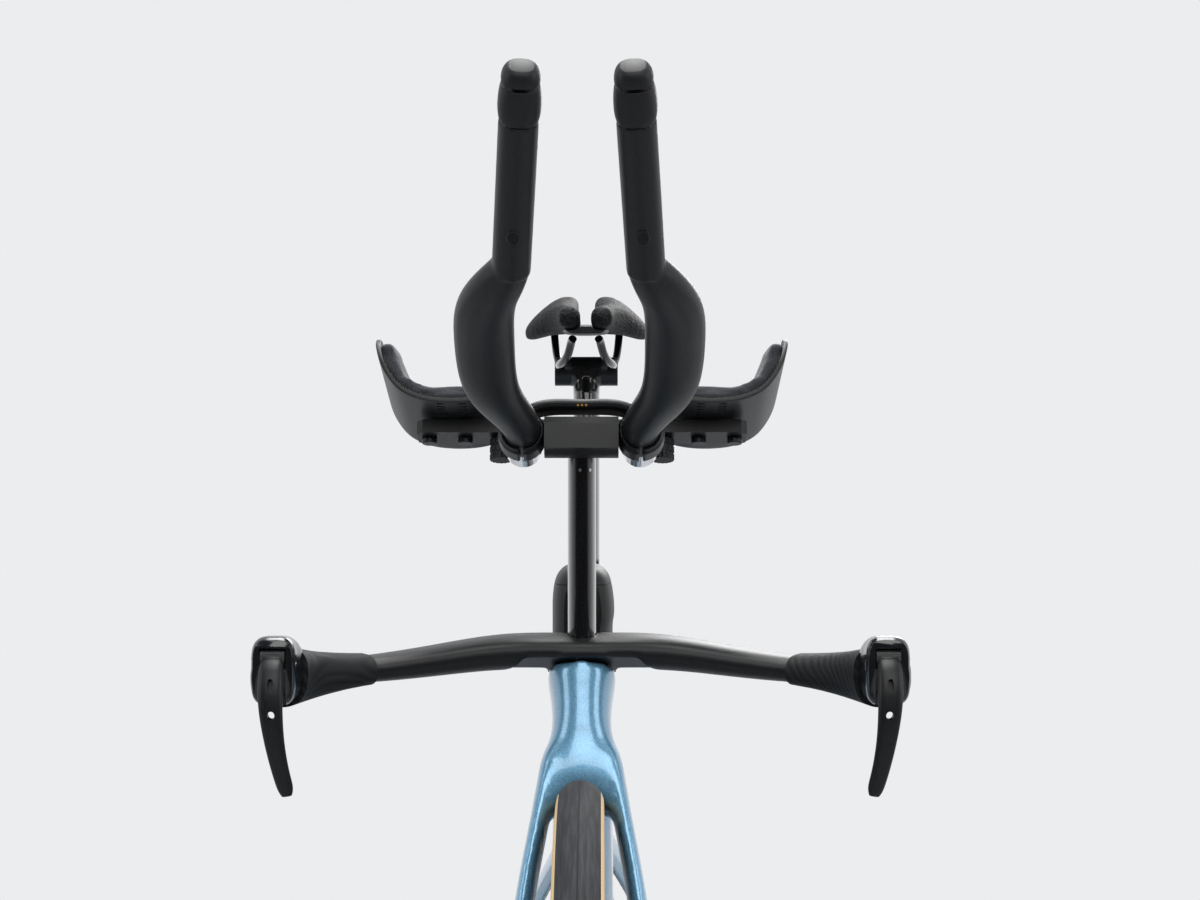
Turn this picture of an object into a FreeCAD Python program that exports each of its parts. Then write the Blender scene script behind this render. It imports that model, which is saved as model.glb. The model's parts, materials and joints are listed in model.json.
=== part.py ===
import FreeCAD, Part
import math
import os
from types import SimpleNamespace

import Sketcher
from FreeCAD import Placement, Rotation, Vector

# Every row is a name, a size in millimetres (degrees for an angle) and what it measures.
sizes = (
    ("wheelbase", 987, "rear axle to front axle"),
    ("wheel_radius", 340, "ground to axle"),
    ("tyre_width", 29, "tyre, wall to wall"),
    ("tyre_wall", 2.6, "rubber thickness"),
    ("tyre_seat_drop", 23, "tread down to the rim edge"),
    ("rim_width", 27.6, "rim at its edge"),
    ("rim_depth", 58, "rim edge to the spoke side"),
    ("rim_nose", 9, "radius of the spoke side of the rim"),
    ("rim_well", 7, "depth of the channel under the tyre"),
    ("spoke_count", 24, "spokes in a wheel"),
    ("spoke_width", 2.4, "bladed spoke, seen from the side"),
    ("spoke_thickness", 1.1, "bladed spoke, seen from the front"),
    ("spoke_sink", 1.5, "spoke end let into hub and rim"),
    ("hub_barrel_radius", 14, "hub between the flanges"),
    ("hub_flange_radius", 21, "hub flange"),
    ("hub_flange_thickness", 5, "hub flange"),
    ("hub_bore_radius", 6.05, "hole for the axle"),
    ("front_hub_width", 100, "between the fork ends"),
    ("rear_hub_width", 142, "between the frame ends"),
    ("front_flange_inset", 24, "fork end to the flange on the disc side"),
    ("rear_flange_inset", 35, "frame end to the flange on the disc side"),
    ("drive_flange_inset", 56, "frame end to the flange on the drive side"),
    ("hub_end_radius", 10, "hub end cap"),
    ("axle_radius", 6, "through axle"),
    ("axle_hole_radius", 3, "key socket in the axle"),
    ("axle_hole_depth", 6.5, "key socket in the axle"),
    ("axle_head_radius", 9, "head of the axle"),
    ("axle_head_thickness", 7, "head of the axle"),
    ("rotor_radius", 80, "brake disc"),
    ("rotor_track", 15, "width of the braking ring"),
    ("rotor_thickness", 1.8, "brake disc"),
    ("rotor_hub_radius", 26, "carrier of the brake disc"),
    ("rotor_arm_width", 9, "arm of the carrier"),
    ("rotor_arm_count", 6, "arms of the carrier"),
    ("rotor_vent_radius", 2.6, "vent hole"),
    ("rotor_vent_count", 24, "vent holes"),
    ("front_rotor_inset", 12, "fork end to the brake disc"),
    ("rear_rotor_inset", 16, "frame end to the brake disc"),
    ("rotor_gap", 0.5, "brake disc to each pad"),
    ("caliper_length", 52, "caliper along the disc edge"),
    ("caliper_height", 34, "caliper across the disc edge"),
    ("caliper_width", 30, "caliper through the disc"),
    ("caliper_slot_depth", 21, "how far the disc reaches into it"),
    ("caliper_round", 5, "rounded edges of the caliper"),
    ("pad_thickness", 3.2, "brake pad"),
    ("bracket_run", 402, "rear axle forward to the crank axis"),
    ("bracket_drop", 80, "crank axis below the axles"),
    ("shell_radius", 24, "crank shell"),
    ("shell_width", 86, "crank shell"),
    ("bracket_bore_radius", 20.5, "hole in the crank shell"),
    ("bracket_cup_width", 11, "bearing cup"),
    ("spindle_radius", 14.5, "crank spindle"),
    ("head_reach", 415, "crank axis forward to the head tube top"),
    ("head_stack", 473, "crank axis up to the head tube top"),
    ("head_angle", 72.5, "steering axis, degrees from level"),
    ("head_length", 54, "head tube"),
    ("head_width", 47, "head tube top"),
    ("head_depth", 76, "head tube, front to back"),
    ("head_setback", 9, "middle of the head tube behind the steering axis"),
    ("head_bearing_radius", 19, "headset bearing"),
    ("head_bearing_height", 7, "headset bearing"),
    ("steerer_radius", 14.3, "steerer tube"),
    ("steerer_room", 2, "steerer to the head tube between the bearings"),
    ("top_tube_width", 36, "top tube"),
    ("top_tube_depth", 50, "top tube"),
    ("top_tube_drop", 22, "head tube top down to the middle of the top tube"),
    ("down_tube_width", 44, "down tube"),
    ("down_tube_depth", 66, "down tube"),
    ("seat_tube_width", 34, "seat tube"),
    ("seat_tube_depth", 78, "seat tube"),
    ("seat_tube_length", 466, "crank axis to the top of the seat tube"),
    ("seat_angle", 81, "seat tube, degrees from level"),
    ("seat_tube_setback", 8, "middle of the seat tube behind the seat line"),
    ("chainstay_width", 15, "chainstay"),
    ("chainstay_height", 42, "chainstay"),
    ("seatstay_width", 12, "seatstay"),
    ("seatstay_height", 28, "seatstay"),
    ("seatstay_rise", 292, "crank axis up to where the seatstays meet the seat tube"),
    ("dropout_radius", 17, "frame end"),
    ("dropout_thickness", 11, "frame end"),
    ("frame_end_reach", 77, "middle of a stay at the axle, out from the middle"),
    ("wheel_room", 7, "tyre to frame"),
    ("crown_room", 47, "space the turning crown needs round the steering axis"),
    ("boss_radius", 2.5, "bottle boss hole"),
    ("boss_depth", 14, "bottle boss hole"),
    ("boss_spacing", 64, "bottle boss to bottle boss"),
    ("crown_height", 40, "fork crown"),
    ("crown_depth", 58, "fork crown, front to back"),
    ("fork_spread", 56, "middle of a fork leg at the axle, out from the middle"),
    ("fork_leg_width", 12.4, "fork leg, seen from the front"),
    ("fork_leg_depth", 52, "fork leg, seen from the side"),
    ("fork_side_room", 3.2, "tyre to fork leg"),
    ("steer_gap", 1, "turning part to the frame"),
    ("bar_reach", 4, "base bar ahead of the head tube top"),
    ("stem_room", 49, "space that the turning stem needs round the steering axis"),
    ("bar_rise", 12, "base bar above the head tube top"),
    ("bar_half", 190, "middle of the bike to a lever"),
    ("bar_droop", 11.5, "base bar middle down to its ends"),
    ("bar_chord", 56, "base bar, front to back"),
    ("bar_thickness", 24, "base bar middle"),
    ("horn_reach", 67, "base bar forward to the lever"),
    ("grip_size", 40, "flared end of a grip"),
    ("lever_body_length", 34, "lever housing"),
    ("lever_body_width", 28, "lever housing"),
    ("lever_body_height", 43, "lever housing"),
    ("lever_pivot_ahead", 29, "horn end to the lever pin"),
    ("lever_pivot_rise", 13, "horn end up to the lever pin"),
    ("lever_pin_radius", 2.5, "lever pin"),
    ("lever_eye_radius", 6.5, "eye of the lever"),
    ("lever_drop", 84, "lever pin down to the lever tip"),
    ("lever_bow", 17, "how far the lever bows forward"),
    ("lever_tip_shift", 9, "how far the lever tip turns inward"),
    ("lever_width", 15, "lever blade"),
    ("lever_thickness", 8, "lever blade"),
    ("lever_gap", 0.7, "lever to its housing"),
    ("mast_width", 18.6, "riser mast"),
    ("mast_depth", 44, "riser mast"),
    ("mast_ahead", -7, "mast ahead of the base bar middle"),
    ("cockpit_rise", 141, "base bar up to the extension clamps"),
    ("cockpit_ahead", 20, "base bar forward to the extension clamps"),
    ("cockpit_tilt", 17, "tilt of the arm rests, degrees"),
    ("head_block_width", 48, "riser head"),
    ("head_block_length", 78, "riser head"),
    ("head_block_height", 17, "riser head"),
    ("head_block_back", 60, "clamps back to the rear of the riser head"),
    ("head_block_plate", 5, "top plate of the riser head"),
    ("head_block_step", 3, "how far the top plate stands in"),
    ("head_block_tray", 1.5, "toothed tray under the riser head"),
    ("head_block_rear", 8, "rear edge of the riser head"),
    ("arm_rise", 9, "front of the riser head up to the bracket seat"),
    ("clamp_spread", 38.5, "middle of the bike to an extension clamp"),
    ("clamp_radius", 15.5, "extension clamp"),
    ("clamp_length", 17, "extension clamp"),
    ("clamp_step", 1.4, "step of the extension clamp"),
    ("clamp_split", 2, "slit under the extension clamp"),
    ("extension_root_radius", 12.2, "extension in its clamp"),
    ("extension_tail", 30, "extension behind its clamp"),
    ("extension_reach", 276, "clamp forward to the end of the grip tube"),
    ("extension_rise", 169, "clamp up to the end of the grip tube"),
    ("extension_swell", 18, "how far the extension swings out"),
    ("extension_blade", 36, "widest part of the extension"),
    ("extension_tube", 22.2, "grip tube"),
    ("shifter_length", 33, "end cap on the grip tube"),
    ("shifter_plug", 14, "end cap inside the grip tube"),
    ("shifter_wall", 2, "grip tube wall round the plug"),
    ("button_length", 9, "shift button"),
    ("button_stem_radius", 4, "stem of the shift button"),
    ("button_stem_length", 12, "stem of the shift button"),
    ("button_travel", 1.6, "shift button travel"),
    ("button_room", 0.6, "space past the end of the button travel"),
    ("button_gap", 0.08, "stem to its hole"),
    ("bridge_depth", 22, "bridge between the clamps, front to back"),
    ("bridge_thickness", 8, "bridge between the clamps"),
    ("bridge_rise", 19, "clamp middle up to the bridge"),
    ("arm_bar_width", 27, "arm rest bracket, front to back"),
    ("arm_bar_thickness", 9, "arm rest bracket"),
    ("arm_bar_reach", 110, "middle of the bike to the end of a bracket"),
    ("arm_bar_bevel", 4, "bevelled end of a bracket"),
    ("arm_bolt_radius", 3, "arm rest bolt"),
    ("arm_bolt_head_radius", 5, "arm rest bolt head"),
    ("arm_bolt_head_height", 4, "arm rest bolt head"),
    ("arm_bolt_spacing", 24, "arm rest bolt to arm rest bolt"),
    ("adjuster_radius", 6.5, "adjuster under a bracket"),
    ("adjuster_length", 15, "adjuster under a bracket"),
    ("adjuster_place", 54, "middle of the bike to an adjuster"),
    ("cup_middle", 90, "middle of the bike to the bottom of a cup"),
    ("cup_width", 93, "arm cup"),
    ("cup_height", 53, "arm cup"),
    ("cup_length", 104, "arm cup"),
    ("cup_thickness", 3, "arm cup"),
    ("cup_front", 2, "front of the cup ahead of the clamps"),
    ("arm_pad_thickness", 11, "arm pad"),
    ("arm_pad_inset", 5, "arm pad in from the cup edge"),
    ("box_front", 62, "head tube top back to the fuel box"),
    ("box_length", 158, "fuel box"),
    ("box_width", 42, "fuel box at its base"),
    ("box_height", 76, "fuel box, with the part hidden in its seat"),
    ("box_wall", 2.4, "fuel box"),
    ("box_lid_gap", 0.4, "fuel box lid to the box"),
    ("box_hinge_radius", 3, "lid hinge"),
    ("box_hinge_width", 22, "lid hinge"),
    ("box_hinge_rise", 8.8, "lid edge up to its hinge"),
    ("box_middle_rise", 26, "head tube top up to the middle of the fuel box"),
    ("box_lid_depth", 12, "fuel box top down to the lid edge"),
    ("box_floor_rise", 9, "head tube top up to the floor of the fuel box"),
    ("post_width", 23, "seatpost"),
    ("post_depth", 58, "seatpost"),
    ("post_insert", 130, "seatpost inside the seat tube"),
    ("post_gap", 0.35, "seatpost to the seat tube"),
    ("post_lower_travel", 42, "room under the seatpost"),
    ("clamp_height", 695, "crank axis to the saddle clamp, along the seat line"),
    ("post_head_radius", 13, "head of the seatpost"),
    ("post_head_width", 26, "head of the seatpost"),
    ("wedge_width", 16, "seatpost wedge"),
    ("wedge_height", 34, "seatpost wedge"),
    ("wedge_depth", 9, "seatpost wedge"),
    ("wedge_drop", 14, "top of the seat tube down to the wedge"),
    ("saddle_disc_radius", 12.5, "saddle clamp disc"),
    ("saddle_disc_width", 11, "saddle clamp disc"),
    ("saddle_bolt_radius", 5, "bolt between the clamp discs"),
    ("rail_radius", 3.5, "saddle rail"),
    ("rail_spread", 22, "saddle rail, out from the middle"),
    ("rail_rise", 20, "clamped part of a rail up to its ends"),
    ("rail_lift", 5, "clamp middle up to a rail"),
    ("saddle_length", 245, "saddle"),
    ("saddle_width", 128, "saddle"),
    ("saddle_nose_ahead", 122, "saddle clamp forward to the nose"),
    ("saddle_rise", 42, "saddle clamp up to the middle of the nose"),
    ("saddle_kick", 13, "nose up to the back of the saddle"),
    ("saddle_pad_height", 24, "saddle padding"),
    ("saddle_base_thickness", 6, "saddle base"),
    ("chain_pitch", 12.7, "chain pin to chain pin"),
    ("chain_line", 46, "middle of the bike to the chain"),
    ("chain_plate", 1.1, "chain plate"),
    ("chain_inner", 2.5, "between the chain plates"),
    ("chain_height", 8, "chain plate"),
    ("chain_pin_radius", 1.8, "chain pin"),
    ("tooth_thickness", 1.8, "chainring and sprocket teeth"),
    ("tooth_root", 4.1, "pitch circle down to the tooth root"),
    ("tooth_tip", 2.6, "pitch circle up to the tooth tip"),
    ("ring_teeth", 52, "teeth on the chainring"),
    ("sprocket_teeth", 14, "teeth on the sprocket in use"),
    ("pulley_teeth", 12, "teeth on a pulley"),
    ("sprocket_pitch", 3.65, "sprocket to sprocket"),
    ("freehub_radius", 15, "carrier of the sprockets"),
    ("freehub_bore", 11, "hole in the carrier"),
    ("ring_web", 4.2, "chainring inside its teeth"),
    ("ring_room", 0.6, "chain to the web of the chainring"),
    ("ring_bore", 19, "hole in the chainring"),
    ("ring_slot_count", 5, "openings in the chainring"),
    ("crank_length", 170, "crank"),
    ("crank_height", 38, "crank at the spindle"),
    ("crank_thickness", 16, "crank at the spindle"),
    ("crank_inner", 52, "middle of the bike to the inside of a crank boss"),
    ("crank_outer", 72, "middle of the bike to the outside of a crank end"),
    ("pedal_axle_radius", 6, "pedal axle"),
    ("pedal_axle_length", 60, "pedal axle"),
    ("pedal_length", 88, "pedal"),
    ("pedal_width", 52, "pedal"),
    ("pedal_height", 17, "pedal"),
    ("pedal_gap", 2, "pedal to the crank"),
    ("run_gap", 0.06, "bearing play"),
    ("guide_ahead", 16, "rear axle forward to the guide pulley"),
    ("guide_drop", 72, "rear axle down to the guide pulley"),
    ("tension_ahead", 40, "guide pulley forward to the tension pulley"),
    ("tension_drop", 68, "guide pulley down to the tension pulley"),
    ("pulley_hub_radius", 5, "middle of a pulley"),
    ("pulley_pin_radius", 2.5, "pulley bolt"),
    ("cage_plate", 2, "pulley cage"),
    ("cage_gap", 5.2, "chain line to a cage plate"),
    ("cage_half_width", 13, "pulley cage at a pulley"),
    ("cut_over", 20, "overrun of a cutting tool"),
)

doc = FreeCAD.newDocument("TimeTrialBike")
sheet = doc.addObject("Spreadsheet::Sheet", "dims")
for row, (alias, amount, note) in enumerate(sizes, start=1):
    sheet.set(f"A{row}", note)
    sheet.set(f"B{row}", str(amount))
    sheet.setAlias(f"B{row}", alias)
doc.recompute()
size = SimpleNamespace(**{alias: float(sheet.get(alias)) for alias, _, _ in sizes})

nodes = []
left = Vector(0, 1, 0)
right = Vector(0, -1, 0)
upward = Vector(0, 0, 1)
forward = Vector(1, 0, 0)
origin = Vector(0, 0, 0)


# Document objects

def node(label, shape):
    made = doc.addObject("Part::Feature", label)
    made.Label = label
    made.Shape = shape
    nodes.append(made)
    return made


def plane(body, role):
    return next(part for part in body.Origin.OriginFeatures if part.Role == role)


def pin_point(sketch, body, geometry, position, corner):
    for kind, expression in zip(("DistanceX", "DistanceY"), corner):
        amount = float(body.evalExpression(expression))
        index = sketch.addConstraint(Sketcher.Constraint(kind, -1, 1, geometry, position, amount))
        sketch.setExpression(f"Constraints[{index}]", expression)


# A sketch of straight sides and circles, each corner a pair of expressions on the sheet.
def draw(body, role, corners=(), circles=()):
    sketch = body.newObject("Sketcher::SketchObject", "outline")
    sketch.AttachmentSupport = [(plane(body, role), "")]
    sketch.MapMode = "FlatFace"
    points = [Vector(*(float(body.evalExpression(part)) for part in corner), 0) for corner in corners]
    for index, point in enumerate(points):
        sketch.addGeometry(Part.LineSegment(point, points[(index + 1) % len(points)]))
    for index, corner in enumerate(corners):
        sketch.addConstraint(Sketcher.Constraint("Coincident", index, 2, (index + 1) % len(points), 1))
        pin_point(sketch, body, index, 1, corner)
    for across, along, radius in circles:
        middle = Vector(float(body.evalExpression(across)), float(body.evalExpression(along)), 0)
        amount = float(body.evalExpression(radius))
        geometry = sketch.addGeometry(Part.Circle(middle, upward, amount))
        pin_point(sketch, body, geometry, 3, (across, along))
        index = sketch.addConstraint(Sketcher.Constraint("Radius", geometry, amount))
        sketch.setExpression(f"Constraints[{index}]", radius)
    return sketch


def new_body(label, keep=True):
    body = doc.addObject("PartDesign::Body", label)
    body.Label = label
    if keep:
        nodes.append(body)
    return body


# A turned piece: corners are (radius, place along the axle), the axle lies along Y.
def turned(label, corners, place, keep=True):
    body = new_body(label, keep)
    profile = draw(body, "XY_Plane", corners)
    turn = body.newObject("PartDesign::Revolution", "turn")
    turn.Profile = profile
    turn.ReferenceAxis = (profile, ["V_Axis"])
    turn.Angle = 360
    body.Placement = Placement(place, Rotation())
    return body


def add_pad(body, profile, length, centred=True):
    pad = body.newObject("PartDesign::Pad", "pad")
    pad.Profile = profile
    pad.setExpression("Length", length)
    pad.Midplane = centred
    return pad


def add_pattern(body, feature, count):
    pattern = body.newObject("PartDesign::PolarPattern", "pattern")
    pattern.Originals = [feature]
    pattern.Axis = (plane(body, "Z_Axis"), [""])
    pattern.Angle = 360
    pattern.setExpression("Occurrences", count)
    body.Tip = pattern
    return pattern


def without(label, base, tool, keep=True):
    made = doc.addObject("Part::Cut", label)
    made.Label = label
    made.Base = base
    made.Tool = tool
    if keep:
        nodes.append(made)
    return made


def group(label, members):
    made = doc.addObject("Part::Compound", label)
    made.Label = label
    made.Links = members
    nodes.append(made)
    return made


# Shapes

def mirrored(shape):
    return shape.mirror(origin, left)


def pair(label, shape):
    node(f"{label}_left", shape)
    node(f"{label}_right", mirrored(shape))


def cylinder(radius, length, place, direction):
    return Part.makeCylinder(radius, length, place, direction)


def cross_cylinder(radius, length, place):
    return cylinder(radius, length, place - left * (length / 2), left)


def block(length, width, height, middle):
    corner = middle - Vector(length / 2, width / 2, height / 2)
    return Part.makeBox(length, width, height, corner)


def oval(middle, across, along, width, depth, squareness):
    points = []
    for step in range(oval_steps):
        angle = 2 * math.pi * step / oval_steps
        cosine, sine = math.cos(angle), math.sin(angle)
        out = math.copysign(abs(cosine) ** (2 / squareness), cosine) * width / 2
        deep = math.copysign(abs(sine) ** (2 / squareness), sine) * depth / 2
        points.append(middle + across * out + along * deep)
    curve = Part.BSplineCurve()
    curve.interpolate(points, PeriodicFlag=True)
    return Part.Wire(curve.toShape())


oval_steps = 16
loft_degree = 3
round_tube = 2.0
soft_square = 2.5
firm_square = 3.6


# A loft along stations of (middle, width along the reference, depth across it).
def tube(stations, reference, squareness=soft_square):
    wires = []
    last = len(stations) - 1
    for index, (middle, width, depth) in enumerate(stations):
        heading = stations[min(index + 1, last)][0] - stations[max(index - 1, 0)][0]
        heading.normalize()
        guide = reference[index] if isinstance(reference, list) else reference
        across = guide - heading * guide.dot(heading)
        across.normalize()
        along = heading.cross(across)
        wires.append(oval(middle, across, along, width, depth, squareness))
    return Part.makeLoft(wires, True, False, False, loft_degree)


def between(start, end, share):
    return start + (end - start) * share


def fused(solid, *rest):
    for other in rest:
        solid = solid.fuse(other)
    return solid


# Reference points that the whole bike is laid out from

rear_axle = Vector(-size.wheelbase / 2, 0, size.wheel_radius)
front_axle = Vector(size.wheelbase / 2, 0, size.wheel_radius)
crank_axis = rear_axle + Vector(size.bracket_run, 0, -size.bracket_drop)
steer_tilt = math.radians(size.head_angle)
steer_up = Vector(-math.cos(steer_tilt), 0, math.sin(steer_tilt))
steer_ahead = Vector(math.sin(steer_tilt), 0, math.cos(steer_tilt))
head_top = crank_axis + Vector(size.head_reach, 0, size.head_stack)
head_low = head_top - steer_up * size.head_length
seat_tilt = math.radians(size.seat_angle)
seat_up = Vector(-math.cos(seat_tilt), 0, math.sin(seat_tilt))
seat_ahead = Vector(math.sin(seat_tilt), 0, math.cos(seat_tilt))
seat_top = crank_axis + seat_up * size.seat_tube_length
saddle_clamp_middle = crank_axis + seat_up * size.clamp_height
tyre_half = size.tyre_width / 2


# Frame

# Each row is a place from the start to the end of a tube, then its width and depth.
head_shares = ((0, 0.97, 0.8), (0.16, 0.86, 0.84), (0.4, 0.83, 0.9), (0.75, 0.92, 1), (1, 1, 1))
top_tube_shares = ((0, 1.1, 0.95), (0.12, 1.04, 1), (0.5, 0.94, 0.94), (0.85, 0.92, 0.98), (1, 0.9, 1.05))
down_tube_shares = ((0, 0.86, 0.8), (0.2, 0.96, 1), (0.6, 1.05, 1), (0.88, 1.2, 0.95), (1, 1.25, 0.7))
seat_tube_shares = ((0, 1.3, 0.62), (0.16, 1.12, 0.86), (0.4, 1, 1), (0.7, 0.98, 0.96), (1, 1, 0.94))
# Rows for a stay: place along it, how far out it stands, its width and height.
chainstay_shares = ((0.03, 0.33, 1, 0.86), (0.2, 0.37, 1, 1), (0.42, 0.52, 0.94, 0.96),
                    (0.75, 0.84, 0.8, 0.76), (1, 0.99, 0.52, 0.56))
seatstay_shares = ((0, 0.17, 1, 1.2), (0.2, 0.35, 0.95, 1), (0.5, 0.62, 0.9, 0.92),
                   (0.82, 0.9, 0.84, 0.9), (1, 0.995, 0.6, 0.84))
down_start_share = 0.42
down_setback_share = 0.34
stay_bow_share = 0.05
stay_foot_share = 0.25


def straight_tube(start, end, shares, width, depth):
    stations = [(between(start, end, place), width * wide, depth * deep) for place, wide, deep in shares]
    return tube(stations, left)


def stay(start, end, shares, width, height, bow):
    stations = []
    for place, out, wide, high in shares:
        middle = between(start, end, place) + upward * (bow * math.sin(math.pi * place))
        stations.append((middle + left * (size.frame_end_reach * out), width * wide, height * high))
    return tube(stations, left)


def head_tube():
    setback = steer_ahead * -size.head_setback
    stations = []
    for place, wide, deep in head_shares:
        depth = size.head_depth * deep
        trim = steer_ahead * ((size.head_depth - depth) / 2)
        stations.append((between(head_low, head_top, place) + setback + trim, size.head_width * wide, depth))
    return tube(stations, left)


def seat_tube():
    setback = seat_ahead * -size.seat_tube_setback
    return straight_tube(crank_axis + setback, seat_top + setback, seat_tube_shares,
                         size.seat_tube_width, size.seat_tube_depth)


def main_tubes():
    down_start = between(head_low, head_top, down_start_share) - steer_ahead * (
        size.head_depth * down_setback_share)
    top_start = head_top - steer_ahead * (size.head_depth / 2) - upward * size.top_tube_drop
    top_end = Vector(seat_top.x, 0, seat_top.z - size.top_tube_depth / 2) - forward * size.seat_tube_setback
    down = straight_tube(down_start, crank_axis - forward * size.seat_tube_setback, down_tube_shares,
                         size.down_tube_width, size.down_tube_depth)
    top = straight_tube(top_start + forward * size.head_setback, top_end, top_tube_shares,
                        size.top_tube_width, size.top_tube_depth)
    return down, top


def rear_stays():
    stay_top = crank_axis + seat_up * size.seatstay_rise - seat_ahead * (size.seat_tube_depth / 4)
    low = stay(crank_axis, rear_axle, chainstay_shares, size.chainstay_width, size.chainstay_height,
               -size.chainstay_height * stay_foot_share)
    high = stay(stay_top, rear_axle, seatstay_shares, size.seatstay_width, size.seatstay_height,
                size.seatstay_rise * stay_bow_share)
    end = cylinder(size.dropout_radius, size.dropout_thickness, rear_axle + left * (size.rear_hub_width / 2),
                   left)
    return [low, high, end, mirrored(low), mirrored(high), mirrored(end)]


def frame_spaces():
    span = size.head_width * 2
    rear = cross_cylinder(size.wheel_radius + size.wheel_room, tyre_half * 2 + size.wheel_room * 2, rear_axle)
    front = cross_cylinder(size.wheel_radius + size.wheel_room, span, front_axle)
    crown = cylinder(size.crown_room, size.crown_height * 2, head_low, steer_up * -1)
    hub = cross_cylinder(size.dropout_radius * 2, size.rear_hub_width, rear_axle)
    axle = cross_cylinder(size.axle_radius, span * 2, rear_axle)
    shell = cross_cylinder(size.bracket_bore_radius, size.shell_width, crank_axis)
    over = cylinder(size.stem_room, size.bar_rise * 2, head_top, steer_up)
    return [rear, front, crown, hub, axle, shell, over]


def headset_spaces():
    through = cylinder(size.steerer_radius + size.steerer_room, size.head_length, head_low, steer_up)
    low = cylinder(size.head_bearing_radius, size.head_bearing_height, head_low, steer_up)
    high = cylinder(size.head_bearing_radius, size.head_bearing_height,
                    head_top - steer_up * size.head_bearing_height, steer_up)
    return [through, low, high]


def post_blade(start, end, play):
    stations = [(place, size.post_width + play * 2, size.post_depth + play * 2)
                for place in (start, between(start, end, 0.5), end)]
    return tube(stations, left)


post_setback = seat_ahead * -size.seat_tube_setback
post_foot = seat_top - seat_up * size.post_insert + post_setback
wedge_middle = (seat_top - seat_up * (size.wedge_drop + size.wedge_height / 2) + post_setback
                + seat_ahead * (size.post_depth / 2 + size.wedge_depth / 2 + size.post_gap * 2))


def wedge_block(play):
    turn = Rotation(upward, seat_up)
    shape = block(size.wedge_depth + play * 2, size.wedge_width + play * 2, size.wedge_height, origin)
    shape.Placement = Placement(wedge_middle, turn).multiply(shape.Placement)
    return shape


def seat_spaces():
    socket = post_blade(post_foot - seat_up * size.post_lower_travel,
                        seat_top + post_setback + seat_up * size.cut_over,
                        size.post_gap)
    return [socket, wedge_block(0)]


def boss_places():
    along = seat_up
    face = crank_axis + seat_up * (size.seat_tube_length * boss_height_share)
    return [face + along * (size.boss_spacing * part / 2) for part in (-1, 1)]


boss_height_share = 0.46


def boss_holes():
    deep = seat_ahead * (size.seat_tube_depth / 2 - size.seat_tube_setback - size.boss_depth)
    length = size.boss_depth + size.cut_over
    return [cylinder(size.boss_radius, length, place + deep, seat_ahead) for place in boss_places()]


def frame_shape():
    shell = cross_cylinder(size.shell_radius, size.shell_width, crank_axis)
    down, top = main_tubes()
    solid = fused(head_tube(), top, down, seat_tube(), shell, *rear_stays())
    for space in frame_spaces() + headset_spaces() + seat_spaces() + boss_holes():
        solid = solid.cut(space)
    return solid


node("frame", frame_shape())
node("seat_wedge", wedge_block(0))


# Bearings

def ring_shape(outer, inner, length, place, direction):
    return cylinder(outer, length, place, direction).cut(cylinder(inner, length, place, direction))


def headset_bearings():
    inner = size.steerer_radius + size.run_gap
    high = head_top - steer_up * size.head_bearing_height
    rings = [ring_shape(size.head_bearing_radius, inner, size.head_bearing_height, place, steer_up)
             for place in (head_low, high)]
    return Part.makeCompound(rings)


def bracket_bearings():
    inner = size.spindle_radius + size.run_gap
    start = crank_axis + left * (size.shell_width / 2 - size.bracket_cup_width)
    cup = ring_shape(size.bracket_bore_radius, inner, size.bracket_cup_width, start, left)
    return Part.makeCompound([cup, mirrored(cup)])


node("headset_bearings", headset_bearings())
node("bottom_bracket", bracket_bearings())


# Fork

crown_shares = ((0, 0.97, 1), (0.3, 1.1, 1), (0.62, 1.27, 0.96), (1, 1.36, 0.9))
# Rows: place from crown to axle, how far out the leg stands, its width and depth.
leg_shares = ((0, 0.32, 1.2, 1.02), (0.08, 0.43, 1, 1.02), (0.16, 0.525, 0.96, 1), (0.26, 0.635, 1, 0.98),
              (0.42, 0.755, 1.06, 0.92), (0.66, 0.9, 1.04, 0.78), (0.9, 0.99, 0.98, 0.62), (1, 1, 0.95, 0.6))
steerer_top_share = 0.6


def fork_leg(start):
    stations = [(between(start, front_axle, place) + left * (size.fork_spread * out),
                 size.fork_leg_width * wide, size.fork_leg_depth * deep)
                for place, out, wide, deep in leg_shares]
    end = cylinder(size.dropout_radius, size.dropout_thickness,
                   front_axle + left * (size.front_hub_width / 2), left)
    return fused(tube(stations, left), end)


def steerer_shape():
    length = size.head_length + size.steer_gap + size.bar_rise * steerer_top_share
    return cylinder(size.steerer_radius, length, head_low - steer_up * size.steer_gap, steer_up)


def fork_shape():
    start = head_low - steer_up * size.steer_gap
    foot = start - steer_up * size.crown_height
    crown = straight_tube(start, foot, crown_shares, size.head_width, size.crown_depth)
    leg = fork_leg(start)
    over = cylinder(size.crown_room, size.head_length, start, steer_up)
    solid = fused(fused(crown, leg, mirrored(leg)).cut(over), steerer_shape())
    side = tyre_half + size.fork_side_room
    arch = Part.makeTorus(size.wheel_radius - tyre_half, side, front_axle, left)
    slot = cross_cylinder(size.wheel_radius - tyre_half, side * 2, front_axle)
    hub = cross_cylinder(size.dropout_radius * 2, size.front_hub_width, front_axle)
    axle = cross_cylinder(size.axle_radius, size.head_width * 4, front_axle)
    seat = front_axle + left * (size.front_hub_width / 2 + size.dropout_thickness)
    head = cylinder(size.axle_head_radius, size.cut_over, seat, left)
    for space in (arch, slot, hub, axle, head):
        solid = solid.cut(space)
    return solid


node("fork", fork_shape())


# Wheels

rim_edge = size.wheel_radius - size.tyre_seat_drop
rim_side_shares = ((0.94, 0.3), (0.98, 0.5), (0.8, 0.72))
rim_well_share = 0.7


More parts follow.
